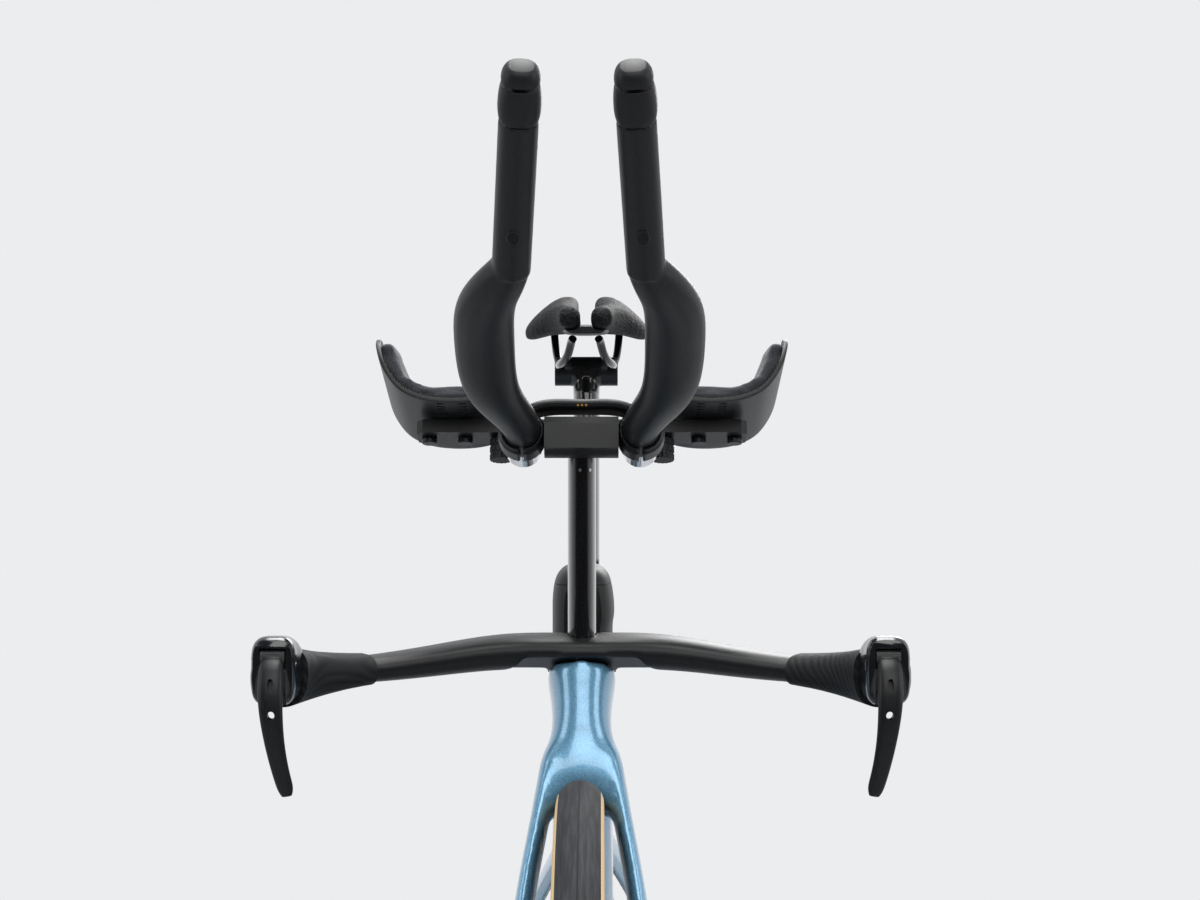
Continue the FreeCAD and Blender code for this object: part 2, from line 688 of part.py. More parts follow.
def tyre_shape(axle):
    middle = size.wheel_radius - tyre_half
    outer = Part.makeTorus(middle, tyre_half, axle, left)
    inner = Part.makeTorus(middle, tyre_half - size.tyre_wall, axle, left)
    return outer.cut(inner).cut(cross_cylinder(rim_edge, size.tyre_width * 2, axle))


# Half of the rim section, from the tyre edge down to the spoke side, mirrored about the wheel's middle.
def rim_profile():
    half = size.rim_width / 2
    foot = rim_edge - size.rim_depth
    side = [Vector(half, rim_edge, 0)]
    side += [Vector(half * out, rim_edge - size.rim_depth * down, 0) for out, down in rim_side_shares]
    side.append(Vector(size.rim_nose * math.cos(math.pi / 6), foot + size.rim_nose / 2, 0))
    curve = Part.BSplineCurve()
    curve.interpolate(side)
    nose = Part.Arc(side[-1], Vector(0, foot, 0), Vector(-side[-1].x, side[-1].y, 0))
    back = Part.BSplineCurve()
    back.interpolate([Vector(-point.x, point.y, 0) for point in reversed(side)])
    well = half * rim_well_share
    floor = [Vector(-half, rim_edge, 0), Vector(-well, rim_edge, 0),
             Vector(-well, rim_edge - size.rim_well, 0),
             Vector(well, rim_edge - size.rim_well, 0), Vector(well, rim_edge, 0), Vector(half, rim_edge, 0)]
    edges = [curve.toShape(), nose.toShape(), back.toShape()]
    edges += [Part.makeLine(start, end) for start, end in zip(floor, floor[1:])]
    return Part.Face(Part.Wire(edges))


def rim_shape(axle):
    face = rim_profile()
    face.rotate(origin, Vector(1, 1, 1), 120)
    solid = face.revolve(origin, left, 360)
    solid.translate(axle)
    return solid


# Corners of a bladed spoke, in shares of its width and thickness.
blade_shares = ((0.5, 0), (0.25, 0.5), (-0.25, 0.5), (-0.5, 0), (-0.25, -0.5), (0.25, -0.5))


def spoke(start, end):
    heading = end - start
    heading.normalize()
    side = left - heading * left.dot(heading)
    side.normalize()
    edge = heading.cross(side)
    corners = [start + edge * (size.spoke_width * along) + side * (size.spoke_thickness * out)
               for along, out in blade_shares]
    return Part.Face(Part.makePolygon(corners + corners[:1])).extrude(end - start)


def around(axle, radius, angle, out):
    return axle + Vector(math.cos(angle) * radius, out, math.sin(angle) * radius)


spoke_lean = math.radians(35)


# Half the spokes go to each flange and lean forward and back in turn.
def spokes_shape(axle, flanges):
    count = int(size.spoke_count)
    flange = cross_cylinder(size.hub_flange_radius, size.rear_hub_width, axle)
    made = []
    for index in range(count):
        angle = 2 * math.pi * index / count
        lean = spoke_lean * (1 if index % 4 < 2 else -1)
        start = around(axle, size.hub_flange_radius - size.spoke_sink, angle + lean, flanges[index % 2])
        end = around(axle, rim_edge - size.rim_depth + size.spoke_sink, angle, 0)
        made.append(spoke(start, end).cut(flange))
    return Part.makeCompound(made)


def hub_body(label, axle, width, disc_inset, drive_inset):
    disc = f"dims.{width} / 2 - dims.{disc_inset}"
    drive = f"-dims.{width} / 2 + dims.{drive_inset}"
    thick = "dims.hub_flange_thickness / 2"
    end = f"dims.{width} / 2"
    corners = [("dims.hub_bore_radius", f"-{end}"), ("dims.hub_end_radius", f"-{end}"),
               ("dims.hub_end_radius", f"{drive} - {thick}"),
               ("dims.hub_flange_radius", f"{drive} - {thick}"),
               ("dims.hub_flange_radius", f"{drive} + {thick}"),
               ("dims.hub_barrel_radius", f"{drive} + {thick} * 2"),
               ("dims.hub_barrel_radius", f"{disc} - {thick} * 2"),
               ("dims.hub_flange_radius", f"{disc} - {thick}"),
               ("dims.hub_flange_radius", f"{disc} + {thick}"), ("dims.hub_end_radius", f"{disc} + {thick}"),
               ("dims.hub_end_radius", end), ("dims.hub_bore_radius", end)]
    return turned(label, corners, axle)


# The brake disc: a carrier with arms, the braking ring round it, then the vent holes.
def rotor_body(label, axle, place):
    body = new_body(label)
    hub = draw(body, "XY_Plane",
               circles=(("0", "0", "dims.rotor_hub_radius"), ("0", "0", "dims.hub_end_radius")))
    add_pad(body, hub, "dims.rotor_thickness")
    half = "dims.rotor_arm_width / 2"
    start = "dims.rotor_hub_radius - dims.rotor_thickness * 2"
    end = "dims.rotor_radius - dims.rotor_track + dims.rotor_thickness * 2"
    arm = draw(body, "XY_Plane", ((start, f"-{half}"), (end, f"{half}"), (end, f"{half} * 2"), (start, half)))
    add_pattern(body, add_pad(body, arm, "dims.rotor_thickness"), "dims.rotor_arm_count")
    track = "dims.rotor_radius - dims.rotor_track"
    ring = draw(body, "XY_Plane", circles=(("0", "0", "dims.rotor_radius"), ("0", "0", track)))
    add_pad(body, ring, "dims.rotor_thickness")
    vent = draw(body, "XY_Plane",
                circles=(("dims.rotor_radius - dims.rotor_track / 2", "0", "dims.rotor_vent_radius"),))
    pocket = body.newObject("PartDesign::Pocket", "vent")
    pocket.Profile = vent
    pocket.Type = "ThroughAll"
    pocket.Midplane = True
    add_pattern(body, pocket, "dims.rotor_vent_count")
    body.Placement = Placement(axle + left * place, Rotation(upward, left))
    return body


def axle_shape(axle, width):
    half = width / 2 + size.dropout_thickness
    shaft = cylinder(size.axle_radius, half * 2, axle - left * half, left)
    head = cylinder(size.axle_head_radius, size.axle_head_thickness, axle + left * half, left)
    socket = cylinder(size.axle_hole_radius, size.axle_hole_depth,
                      axle + left * (half + size.axle_head_thickness - size.axle_hole_depth), left)
    return fused(shaft, head).cut(socket)


def wheel(name, axle, width, flanges, rotor_place):
    spokes = spokes_shape(axle, flanges)
    node(f"{name}_tyre", tyre_shape(axle))
    node(f"{name}_rim", rim_shape(axle).cut(spokes))
    node(f"{name}_spokes", spokes)
    rotor_body(f"{name}_rotor", axle, rotor_place)
    node(f"{name}_axle", axle_shape(axle, width))


front_flanges = (size.front_hub_width / 2 - size.front_flange_inset,
                 size.front_flange_inset - size.front_hub_width / 2)
rear_flanges = (size.rear_hub_width / 2 - size.rear_flange_inset,
                size.drive_flange_inset - size.rear_hub_width / 2)
front_rotor_place = size.front_hub_width / 2 - size.front_rotor_inset
rear_rotor_place = size.rear_hub_width / 2 - size.rear_rotor_inset
wheel("front", front_axle, size.front_hub_width, front_flanges, front_rotor_place)
wheel("rear", rear_axle, size.rear_hub_width, rear_flanges, rear_rotor_place)
hub_body("front_hub", front_axle, "front_hub_width", "front_flange_inset", "front_flange_inset")
hub_body("rear_hub", rear_axle, "rear_hub_width", "rear_flange_inset", "drive_flange_inset")


# Brake calipers

# A rounded block that straddles the disc, with a pad on each side and a foot on the leg or stay.
def caliper_shape(axle, angle, rotor_place, foot_turn, carrier):
    reach = size.rotor_radius - size.caliper_slot_depth + size.caliper_height / 2
    body = block(size.caliper_length, size.caliper_width, size.caliper_height, origin)
    body = body.makeFillet(size.caliper_round, body.Edges)
    foot = block(size.caliper_length * foot_length_share, size.caliper_width / 2, size.caliper_height / 2,
                 origin)
    foot.translate(Vector(size.caliper_length * foot_turn, size.caliper_width / 2, 0))
    body = body.fuse(foot)
    slot = size.rotor_thickness + size.rotor_gap * 2 + size.pad_thickness * 2
    low = upward * ((size.caliper_slot_depth - size.caliper_height - size.caliper_round) / 2)
    body = body.cut(block(size.caliper_length * 2, slot, size.caliper_slot_depth + size.caliper_round, low))
    out = (size.rotor_thickness + size.pad_thickness) / 2 + size.rotor_gap
    pad = block(size.caliper_length / 2, size.pad_thickness, size.rotor_track, low)
    pads = [pad.translated(left * (out * side)) for side in (-1, 1)]
    turn = Rotation(left, 90 - angle)
    place = Placement(axle + left * rotor_place + turn.multVec(upward) * reach, turn)
    for part in [body] + pads:
        part.Placement = place.multiply(part.Placement)
    return Part.makeCompound([body.cut(carrier)] + pads)


foot_length_share = 0.7
foot_turn_share = 0.36
front_caliper_angle = 139
rear_caliper_angle = 11
frame_solid = doc.getObject("frame").Shape
fork_solid = doc.getObject("fork").Shape
node("front_caliper",
     caliper_shape(front_axle, front_caliper_angle, front_rotor_place, foot_turn_share, fork_solid))
node("rear_caliper",
     caliper_shape(rear_axle, rear_caliper_angle, rear_rotor_place, foot_turn_share, frame_solid))


# Chain and sprockets

tooth_shares = ((-0.32, 0), (-0.14, 1), (0.14, 1), (0.32, 0))
cassette_teeth = (10, 11, 12, 13, 14, 15, 17, 19, 21, 24, 27, 30)
guide_axis = rear_axle + Vector(size.guide_ahead, 0, -size.guide_drop)
tension_axis = guide_axis + Vector(size.tension_ahead, 0, -size.tension_drop)


def pitch_radius(teeth):
    return size.chain_pitch / (2 * math.sin(math.pi / teeth))


def in_line(place, out):
    return Vector(place.x, -out, place.z)


# A toothed disc standing on Y, its middle plane at the given distance to the right.
def toothed(teeth, axis, out):
    root = pitch_radius(teeth) - size.tooth_root
    deep = size.tooth_root + size.tooth_tip
    points = []
    for tooth in range(teeth):
        for place, high in tooth_shares:
            angle = 2 * math.pi * (tooth + place) / teeth
            points.append(around(in_line(axis, out), root + deep * high, angle, size.tooth_thickness / 2))
    face = Part.Face(Part.makePolygon(points + points[:1]))
    return face.extrude(right * size.tooth_thickness)


def disc(radius, thickness, axis, out):
    return cross_cylinder(radius, thickness, in_line(axis, out))


def chainring_shape():
    axis = crank_axis
    teeth = toothed(int(size.ring_teeth), axis, size.chain_line)
    edge = pitch_radius(size.ring_teeth) - size.chain_height / 2 - size.ring_room
    solid = fused(teeth, disc(edge, size.ring_web, axis, size.chain_line))
    solid = solid.cut(disc(size.ring_bore, size.ring_web * 2, axis, size.chain_line))
    middle = (edge + size.ring_bore) / 2
    for index in range(int(size.ring_slot_count)):
        angle = 2 * math.pi * index / size.ring_slot_count
        hole = cross_cylinder(middle * ring_hole_share, size.ring_web * 2, around(
            in_line(axis, size.chain_line), middle, angle, 0))
        solid = solid.cut(hole)
    return solid


ring_hole_share = 0.22


def sprocket_place(index):
    return size.chain_line + (cassette_teeth.index(int(size.sprocket_teeth)) - index) * size.sprocket_pitch


def cassette_shape():
    start, end = sprocket_place(0), sprocket_place(len(cassette_teeth) - 1)
    length = start - end + size.tooth_thickness
    solid = disc(size.freehub_radius, length, rear_axle, (start + end) / 2)
    for index, teeth in enumerate(cassette_teeth):
        solid = solid.fuse(toothed(teeth, rear_axle, sprocket_place(index)))
    return solid.cut(disc(size.freehub_bore, length * 2, rear_axle, (start + end) / 2))


# Each wheel the chain passes is (middle, radius, turn), the turn being 1 if it runs anticlockwise.
def chain_stops():
    return ((crank_axis, pitch_radius(size.ring_teeth), -1),
            (tension_axis, pitch_radius(size.pulley_teeth), -1),
            (guide_axis, pitch_radius(size.pulley_teeth), 1),
            (rear_axle, pitch_radius(size.sprocket_teeth), -1))


def tangent_points(start, end):
    (first, first_radius, first_turn), (second, second_radius, second_turn) = start, end
    span = second - first
    bend = (second_turn * second_radius - first_turn * first_radius) / span.Length
    heading = math.atan2(span.z, span.x) - math.asin(bend)
    normal = Vector(-math.sin(heading), 0, math.cos(heading))
    return (first - normal * (first_turn * first_radius), second - normal * (second_turn * second_radius))


def chain_path():
    stops = chain_stops()
    runs = [tangent_points(stops[index], stops[(index + 1) % len(stops)]) for index in range(len(stops))]
    edges = []
    for index, (middle, radius, turn) in enumerate(stops):
        begin, finish = runs[index - 1][1], runs[index][0]
        first = math.atan2(begin.z - middle.z, begin.x - middle.x)
        last = math.atan2(finish.z - middle.z, finish.x - middle.x)
        sweep = ((last - first) * turn) % (2 * math.pi)
        halfway = around(middle, radius, first + turn * sweep / 2, 0)
        edges.append(Part.Arc(begin, halfway, finish).toShape())
        edges.append(Part.makeLine(*runs[index]))
    return Part.Wire(Part.__sortEdges__(edges)), runs


def chain_pins(start, end):
    count = int((end - start).Length / size.chain_pitch)
    length = size.chain_inner + size.chain_plate * 2
    made = []
    for index in range(pins_left_out, count - pins_left_out):
        place = between(start, end, index / count)
        made.append(disc(size.chain_pin_radius, length, place, size.chain_line))
    return made


pins_left_out = 4


def chain_shape():
    path, runs = chain_path()
    outer = path.makeOffset2D(size.chain_height / 2)
    inner = path.makeOffset2D(-size.chain_height / 2)
    wide, narrow = sorted((outer, inner), key=lambda wire: -Part.Face(wire).Area)
    face = Part.Face(wide).cut(Part.Face(narrow))
    band = face.extrude(right * size.chain_plate)
    out = size.chain_line + size.chain_inner / 2
    far = band.translated(right * out)
    near = band.translated(right * (out - size.chain_inner - size.chain_plate))
    pins = chain_pins(*runs[0]) + chain_pins(*runs[-1])
    return fused(far, *pins, near)


def pulley_shape(axis):
    solid = toothed(int(size.pulley_teeth), axis, size.chain_line)
    solid = solid.fuse(disc(size.pulley_hub_radius, size.cage_gap, axis, size.chain_line))
    return solid.cut(disc(size.pulley_pin_radius + size.run_gap, size.cage_gap * 2, axis, size.chain_line))


def capsule(start, end, radius, thickness, out):
    span = end - start
    bar = block(span.Length, thickness, radius * 2, origin)
    bar.Placement = Placement(in_line(between(start, end, 0.5), out),
                              Rotation(forward, span)).multiply(bar.Placement)
    return fused(disc(radius, thickness, start, out), bar, disc(radius, thickness, end, out))


def cage_shape():
    away = size.cage_gap + size.cage_plate / 2
    plates = [capsule(guide_axis, tension_axis, size.cage_half_width, size.cage_plate,
                      size.chain_line + away * side)
              for side in (-1, 1)]
    pins = [disc(size.pulley_pin_radius, away * 2, axis, size.chain_line)
            for axis in (guide_axis, tension_axis)]
    return fused(plates[0], *pins, plates[1])


hanger_drop_share = 0.54
hanger_back_share = 0.12
knuckle_shares = ((0, 1, 0.9), (0.3, 1.1, 1), (0.7, 1.05, 1), (1, 0.95, 0.9))
hanger_axis = rear_axle + Vector(-size.guide_drop * hanger_back_share, 0,
                                 -size.guide_drop * hanger_drop_share)
hanger_plate_share = 1.5
arm_depth_share = 1.5
hanger_out = size.rear_hub_width / 2 + size.dropout_thickness + size.cage_plate * hanger_plate_share


def hanger_shape():
    solid = capsule(rear_axle, hanger_axis, size.cage_half_width, size.cage_plate * 3, hanger_out)
    return solid.cut(disc(size.axle_radius, size.cage_plate * 6, rear_axle, hanger_out))


# The changer's arm, from its bolt on the hanger to the knuckle beside the cage.
def changer_shape():
    face = size.chain_line + size.cage_gap + size.cage_plate
    start = in_line(hanger_axis, hanger_out - size.cage_plate * hanger_plate_share - size.cage_half_width)
    end = in_line(guide_axis, face + size.cage_half_width)
    stations = [(between(start, end, place), size.cage_half_width * 2 * wide,
                 size.cage_half_width * arm_depth_share * deep)
                for place, wide, deep in knuckle_shares]
    arm = tube(stations, left)
    knuckle = cylinder(size.cage_half_width, size.cage_half_width * 2, in_line(guide_axis, face), right)
    bolt = cylinder(size.cage_half_width * bolt_share, size.cage_half_width * 2,
                    in_line(hanger_axis, hanger_out - size.cage_plate * hanger_plate_share), left)
    return fused(arm, knuckle, bolt, hanger_shape())


bolt_share = 0.7
node("chainring", chainring_shape())
node("cassette", cassette_shape())
node("chain", chain_shape())
node("guide_pulley", pulley_shape(guide_axis))
node("tension_pulley", pulley_shape(tension_axis))
node("changer_cage", cage_shape())
node("changer_arm", changer_shape())


# Cranks and pedals

arm_shares = ((0, 1, 1), (0.25, 0.86, 0.95), (0.6, 0.7, 0.84), (0.9, 0.64, 0.74), (1, 0.62, 0.72))
eye_share = 0.36
eye_depth_share = 0.75
axle_sink_share = 0.72
boss_share = 0.55
pedal_shares = ((-0.5, 0.5, 0.4), (-0.44, 0.8, 0.72), (-0.25, 1, 1), (0.1, 0.96, 1), (0.32, 0.72, 0.86),
                (0.46, 0.5, 0.7), (0.5, 0.34, 0.4))


# The left crank as it stands with its pedal at the front.
def crank_arm(heading):
    inner = size.crank_inner + size.crank_thickness / 2
    outer = size.crank_outer - size.crank_thickness * eye_share
    start = crank_axis + left * inner
    end = crank_axis + heading * size.crank_length + left * outer
    stations = [(between(start, end, place), size.crank_height * high, size.crank_thickness * thick)
                for place, high, thick in arm_shares]
    boss = cylinder(size.crank_height * boss_share, size.crank_thickness,
                    crank_axis + left * size.crank_inner, left)
    eye = cylinder(size.crank_height * eye_share, size.crank_thickness * eye_depth_share,
                   end - left * (size.crank_thickness * eye_share), left)
    return fused(tube(stations, upward), boss, eye)


def pedal_axle(heading, play=0, longer=0):
    start = crank_axis + heading * size.crank_length + left * (size.crank_outer - size.crank_thickness
                                                               * axle_sink_share)
    return cylinder(size.pedal_axle_radius + play, size.pedal_axle_length + longer, start, left)


def pedal_shape(heading):
    inner = size.crank_outer + size.pedal_gap
    middle = crank_axis + heading * size.crank_length + left * (inner + size.pedal_width / 2)
    stations = [(middle + forward * (size.pedal_length * place), size.pedal_width * wide,
                 size.pedal_height * high)
                for place, wide, high in pedal_shares]
    return tube(stations, left, firm_square).cut(pedal_axle(heading, size.run_gap, size.pedal_gap / 2))


def left_crank():
    heading = forward * -1
    bore = cross_cylinder(size.spindle_radius, size.crank_outer * 2, crank_axis)
    return crank_arm(heading).cut(bore).cut(pedal_axle(heading))


def right_crank():
    length = size.crank_inner + size.crank_outer - size.crank_thickness / 2
    spindle = cylinder(size.spindle_radius, length,
                       crank_axis - left * (size.crank_inner + size.crank_thickness / 2), left)
    collar_end = size.chain_line - size.ring_web / 2
    collar = cylinder(size.ring_bore, size.crank_inner - collar_end, in_line(crank_axis, collar_end), right)
    arm = mirrored(crank_arm(forward)).cut(mirrored(pedal_axle(forward)))
    return fused(arm, spindle, collar)


node("crank_right", right_crank())
node("crank_left", left_crank())
node("pedal_axles", Part.makeCompound([pedal_axle(forward * -1), mirrored(pedal_axle(forward))]))
node("pedal_left", pedal_shape(forward * -1))
node("pedal_right", mirrored(pedal_shape(forward)))


# Base bar

# Rows: forward, out and down along the bar, then its front-to-back size and its thickness.
bar_shares = ((0, 0, 0, 1, 1), (0, 0.24, 0, 0.97, 0.96), (0.03, 0.45, 0.35, 0.89, 0.86),
              (0.08, 0.61, 0.7, 0.79, 0.775),
              (0.18, 0.747, 0.91, 0.68, 0.71), (0.42, 0.885, 1, 0.58, 0.75), (0.75, 0.97, 0.96, 0.52, 0.88),
              (1, 1, 0.83, 0.48, 1))
# Rows: the bar row that the grip follows, then its thickness and front-to-back size.
grip_shares = ((4, 0.51, 0.99), (5, 0.68, 0.96), (6, 0.88, 0.96), (7, 1, 1))
stem_shares = ((0, 0.98, 0.96), (0.5, 0.94, 0.88), (1, 0.8, 0.66))
stem_height_share = 1.5
bar_middle = head_top + Vector(size.bar_reach, 0, size.bar_rise)


def bar_place(row):
    ahead, out, down = row[:3]
    return bar_middle + Vector(size.horn_reach * ahead, size.bar_half * out, -size.bar_droop * down)


def bar_blade():
    half = [(bar_place(row), size.bar_thickness * row[4], size.bar_chord * row[3]) for row in bar_shares]
    other = [(Vector(place.x, -place.y, place.z), thick, chord) for place, thick, chord in half[:0:-1]]
    return tube(other + half, upward)


def stem_boss():
    start = head_top + steer_up * size.steer_gap - steer_ahead * size.head_setback
    end = start + steer_up * (size.bar_rise * stem_height_share)
    return straight_tube(start, end, stem_shares, size.head_width, size.head_depth)


mast_top_share = 0.24
mast_foot = bar_middle + forward * size.mast_ahead
cockpit_middle = bar_middle + Vector(size.cockpit_ahead, 0, size.cockpit_rise)
cockpit = Placement(cockpit_middle, Rotation(left, -size.cockpit_tilt))


def in_cockpit(shape):
    shape.Placement = cockpit.multiply(shape.Placement)
    return shape


def mast_shape():
    middle = size.head_block_length / 2 - size.head_block_back
    top = cockpit.multVec(Vector(middle, 0, size.head_block_height * mast_top_share))
    stations = [(between(mast_foot, top, place), size.mast_width, size.mast_depth) for place in (0, 0.5, 1)]
    return tube(stations, left)


def head_room():
    return cylinder(size.stem_room, size.head_length, head_top + steer_up * size.steer_gap, steer_up * -1)


mast = node("riser_mast", mast_shape())
bar_solid = fused(bar_blade(), stem_boss()).cut(head_room()).cut(steerer_shape()).cut(mast.Shape)
node("base_bar", bar_solid)


def grip_shape():
    stations = [(bar_place(bar_shares[row]), size.grip_size * thick, size.grip_size * chord)
                for row, thick, chord in grip_shares]
    return tube(stations, upward).cut(bar_blade())


grip_solid = grip_shape()
pair("grip", grip_solid)


# Brake levers

horn_end = bar_place(bar_shares[-1])
lever_pivot = horn_end + Vector(size.lever_pivot_ahead, 0, size.lever_pivot_rise)
# Rows: place from the horn, width, height and how far it stands up.
housing_shares = ((-0.25, 1.16, 0.76, -0.02), (0, 1.18, 0.8, 0.01), (0.24, 1.08, 0.94, 0.1),
                  (0.6, 1, 1, 0.12), (0.9, 0.98, 0.98, 0.13),
                  (1, 0.88, 0.9, 0.13))
# Rows: forward, down and inward along the lever, then its width and thickness.
blade_shares = ((0, 0, 0, 1, 0.8), (0.7, 0.1, 0, 1, 1), (1, 0.3, 0.05, 1, 0.95),
                (0.92, 0.55, 0.25, 0.85, 0.84),
                (0.6, 0.8, 0.62, 0.72, 0.74), (0.3, 0.96, 0.94, 0.6, 0.62), (0.24, 1, 1, 0.42, 0.4))


def lever_housing():
    stations = []
    for place, wide, high, rise in housing_shares:
        middle = horn_end + Vector(size.lever_body_length * place, 0, size.lever_body_height * rise)
        stations.append((middle, size.lever_body_width * wide, size.lever_body_height * high))
    solid = tube(stations, left, firm_square).cut(bar_blade()).cut(grip_solid)
    room = size.lever_eye_radius + size.lever_gap
    slot = size.lever_width + size.lever_gap * 2
    drop = size.lever_drop + room
    middle = lever_pivot + Vector(size.cut_over / 2 - room / 2, 0, room - drop / 2)
    solid = solid.cut(block(size.cut_over + room, slot, drop, middle))
    return solid.cut(cross_cylinder(size.lever_pin_radius, size.lever_body_width * 2, lever_pivot))


def lever_blade():
    stations = []
    for ahead, down, inward, wide, thick in blade_shares:
        middle = lever_pivot + Vector(size.lever_bow * ahead, -size.lever_tip_shift * inward,
                                      -size.lever_drop * down)
        stations.append((middle, size.lever_width * wide, size.lever_thickness * thick))
    eye = cross_cylinder(size.lever_eye_radius, size.lever_width, lever_pivot)
    solid = fused(tube(stations, left, soft_square), eye)
    return solid.cut(cross_cylinder(size.lever_pin_radius + size.run_gap, size.lever_width * 2, lever_pivot))


def lever_pin():
    return cross_cylinder(size.lever_pin_radius, size.lever_body_width * pin_share, lever_pivot)


pin_share = 0.96
pair("lever_housing", lever_housing())
pair("brake_lever", lever_blade())


# Riser head, drawn from the side and padded to its width

block_low_share = 0.75
block_high_share = 0.25
block_low = f"-dims.head_block_height * {block_low_share}"
block_high = f"dims.head_block_height * {block_high_share}"
arm_seat = f"{block_high} + dims.arm_rise"
block_rear = "-dims.head_block_back"
block_front = "dims.head_block_length - dims.head_block_back"


def riser_head_body():
    body = new_body("riser_head_blank", keep=False)
    step = "dims.head_block_step"
    plate_rear = "-dims.head_block_back + dims.arm_bar_width + dims.head_block_step * 2"
    plate_top = f"{block_high} + dims.head_block_plate"
    tray_low = f"{block_low} - dims.head_block_tray"
    corners = [(block_rear, f"{arm_seat} - dims.head_block_rear"), (f"{block_front} - {step} * 7", block_low),
               (f"{block_front} - {step} * 6", tray_low), (f"{block_front} - {step} * 3", tray_low),
               (f"{block_front} - {step} * 2", block_low), (block_front, block_low),
               (block_front, block_high),
               (f"{block_front} - {step}", block_high), (f"{block_front} - {step}", plate_top),
               (plate_rear, plate_top), (plate_rear, arm_seat), (block_rear, arm_seat)]
    add_pad(body, draw(body, "XZ_Plane", corners), "dims.head_block_width")
    body.Placement = cockpit
    return body


riser_head = without("riser_head", riser_head_body(), mast)
doc.recompute()


# Extensions

# Rows: forward, up and out along the extension, then its width and thickness.
extension_shares = ((0.03, 0.015, 0, 0.62, 0.62), (0.12, 0.066, 0.14, 0.72, 0.66),
                    (0.22, 0.12, 0.56, 0.84, 0.66),
                    (0.348, 0.2, 0.94, 0.96, 0.68), (0.5, 0.335, 1, 1, 0.7), (0.64, 0.45, 0.82, 0.94, 0.69),
                    (0.715, 0.505, 0.42, 0.82, 0.65), (0.76, 0.552, 0.05, 0.66, 0.63),
                    (0.79, 0.6, -0.05, 0.57, 0.57))
grip_tube_shares = ((0.765, 0.545, -0.03), (1, 1, -0.39))
clamp_middle = cockpit.multVec(left * size.clamp_spread)
# Rows: place along the end cap and its width.
cap_shares = ((0, 0.94), (0.14, 1.02), (0.5, 1.06), (0.86, 1), (1, 0.94))
button_shares = ((0, 0.95), (0.45, 0.92), (0.85, 0.76), (1, 0.6))


def extension_place(row):
    ahead, rise, out = row[:3]
    return clamp_middle + Vector(size.extension_reach * ahead, size.extension_swell * out,
                                 size.extension_rise * rise)


extension_end = extension_place(grip_tube_shares[-1])
grip_heading = extension_end - extension_place(grip_tube_shares[0])
grip_heading.normalize()
clamp_heading = cockpit.Rotation.multVec(forward)


def extension_shape():
    stations = [(extension_place(row), size.extension_blade * row[3], size.extension_blade * row[4])
                for row in extension_shares]
    root = cylinder(size.extension_root_radius, size.extension_tail + size.clamp_length,
                    clamp_middle - clamp_heading * size.extension_tail, clamp_heading)
    start = extension_place(grip_tube_shares[0])
    grip = cylinder(size.extension_tube / 2, (extension_end - start).Length, start, grip_heading)
    solid = fused(tube(stations, left, round_tube), root, grip)
    plug = cylinder(size.extension_tube / 2 - size.shifter_wall, size.shifter_plug,
                    extension_end - grip_heading * size.shifter_plug, grip_heading)
    return solid.cut(plug)


def capped(start, length, shares):
    stations = [(start + grip_heading * (length * place), size.extension_tube * wide,
                 size.extension_tube * wide)
                for place, wide in shares]
    return tube(stations, left, soft_square)


button_start = extension_end + grip_heading * (size.shifter_length - size.button_length)
stroke_room = size.button_travel + size.button_room


def shifter_shape():
    plug = cylinder(size.extension_tube / 2 - size.shifter_wall, size.shifter_plug,
                    extension_end - grip_heading * size.shifter_plug, grip_heading)
    cap = capped(extension_end, size.shifter_length - size.button_length - stroke_room, cap_shares)
    depth = size.button_stem_length + stroke_room * 2
    hole = cylinder(size.button_stem_radius + size.button_gap, depth + size.cut_over,
                    button_start - grip_heading * depth, grip_heading)
    return fused(plug, cap).cut(hole)


def button_shape():
    stem = cylinder(size.button_stem_radius, size.button_stem_length + size.button_length / 2,
                    button_start - grip_heading * size.button_stem_length, grip_heading)
    return fused(capped(button_start, size.button_length, button_shares), stem)


extension_solid = extension_shape()
pair("extension", extension_solid)
pair("shifter", shifter_shape())
pair("shift_button", button_shape())


# Extension clamps and the bridge that joins them

bridge_shares = ((-1, 0.62, 0.9), (-0.72, 0.92, 1), (0, 1, 0.92), (0.72, 0.92, 1), (1, 0.62, 0.9))
clamp_back_share = 0.3


def clamp_ring():
    start = Vector(-size.clamp_length * clamp_back_share, size.clamp_spread, 0)
    wide = cylinder(size.clamp_radius, size.clamp_length, start, forward)
    narrow = cylinder(size.clamp_radius - size.clamp_step, size.clamp_length + size.clamp_step * 3, start,
                      forward)
    slit = block(size.clamp_length * 3, size.clamp_split, size.clamp_radius * 2,
                 start - upward * size.clamp_radius)
    return fused(wide, narrow).cut(slit)


def bridge_shape():
    stations = [(Vector(size.clamp_length / 4, size.clamp_spread * out, size.bridge_rise * rise),
                 size.bridge_depth * wide, size.bridge_thickness) for out, rise, wide in bridge_shares]
    ring = clamp_ring()
    solid = in_cockpit(fused(ring, tube(stations, forward), mirrored(ring)))
    root = cylinder(size.extension_root_radius, size.extension_tail + size.clamp_length,
                    clamp_middle - clamp_heading * size.extension_tail, clamp_heading)
    for space in (root, mirrored(root), extension_solid, mirrored(extension_solid), riser_head.Shape):
        solid = solid.cut(space)
    return solid


node("extension_bridge", bridge_shape())


# Arm rests

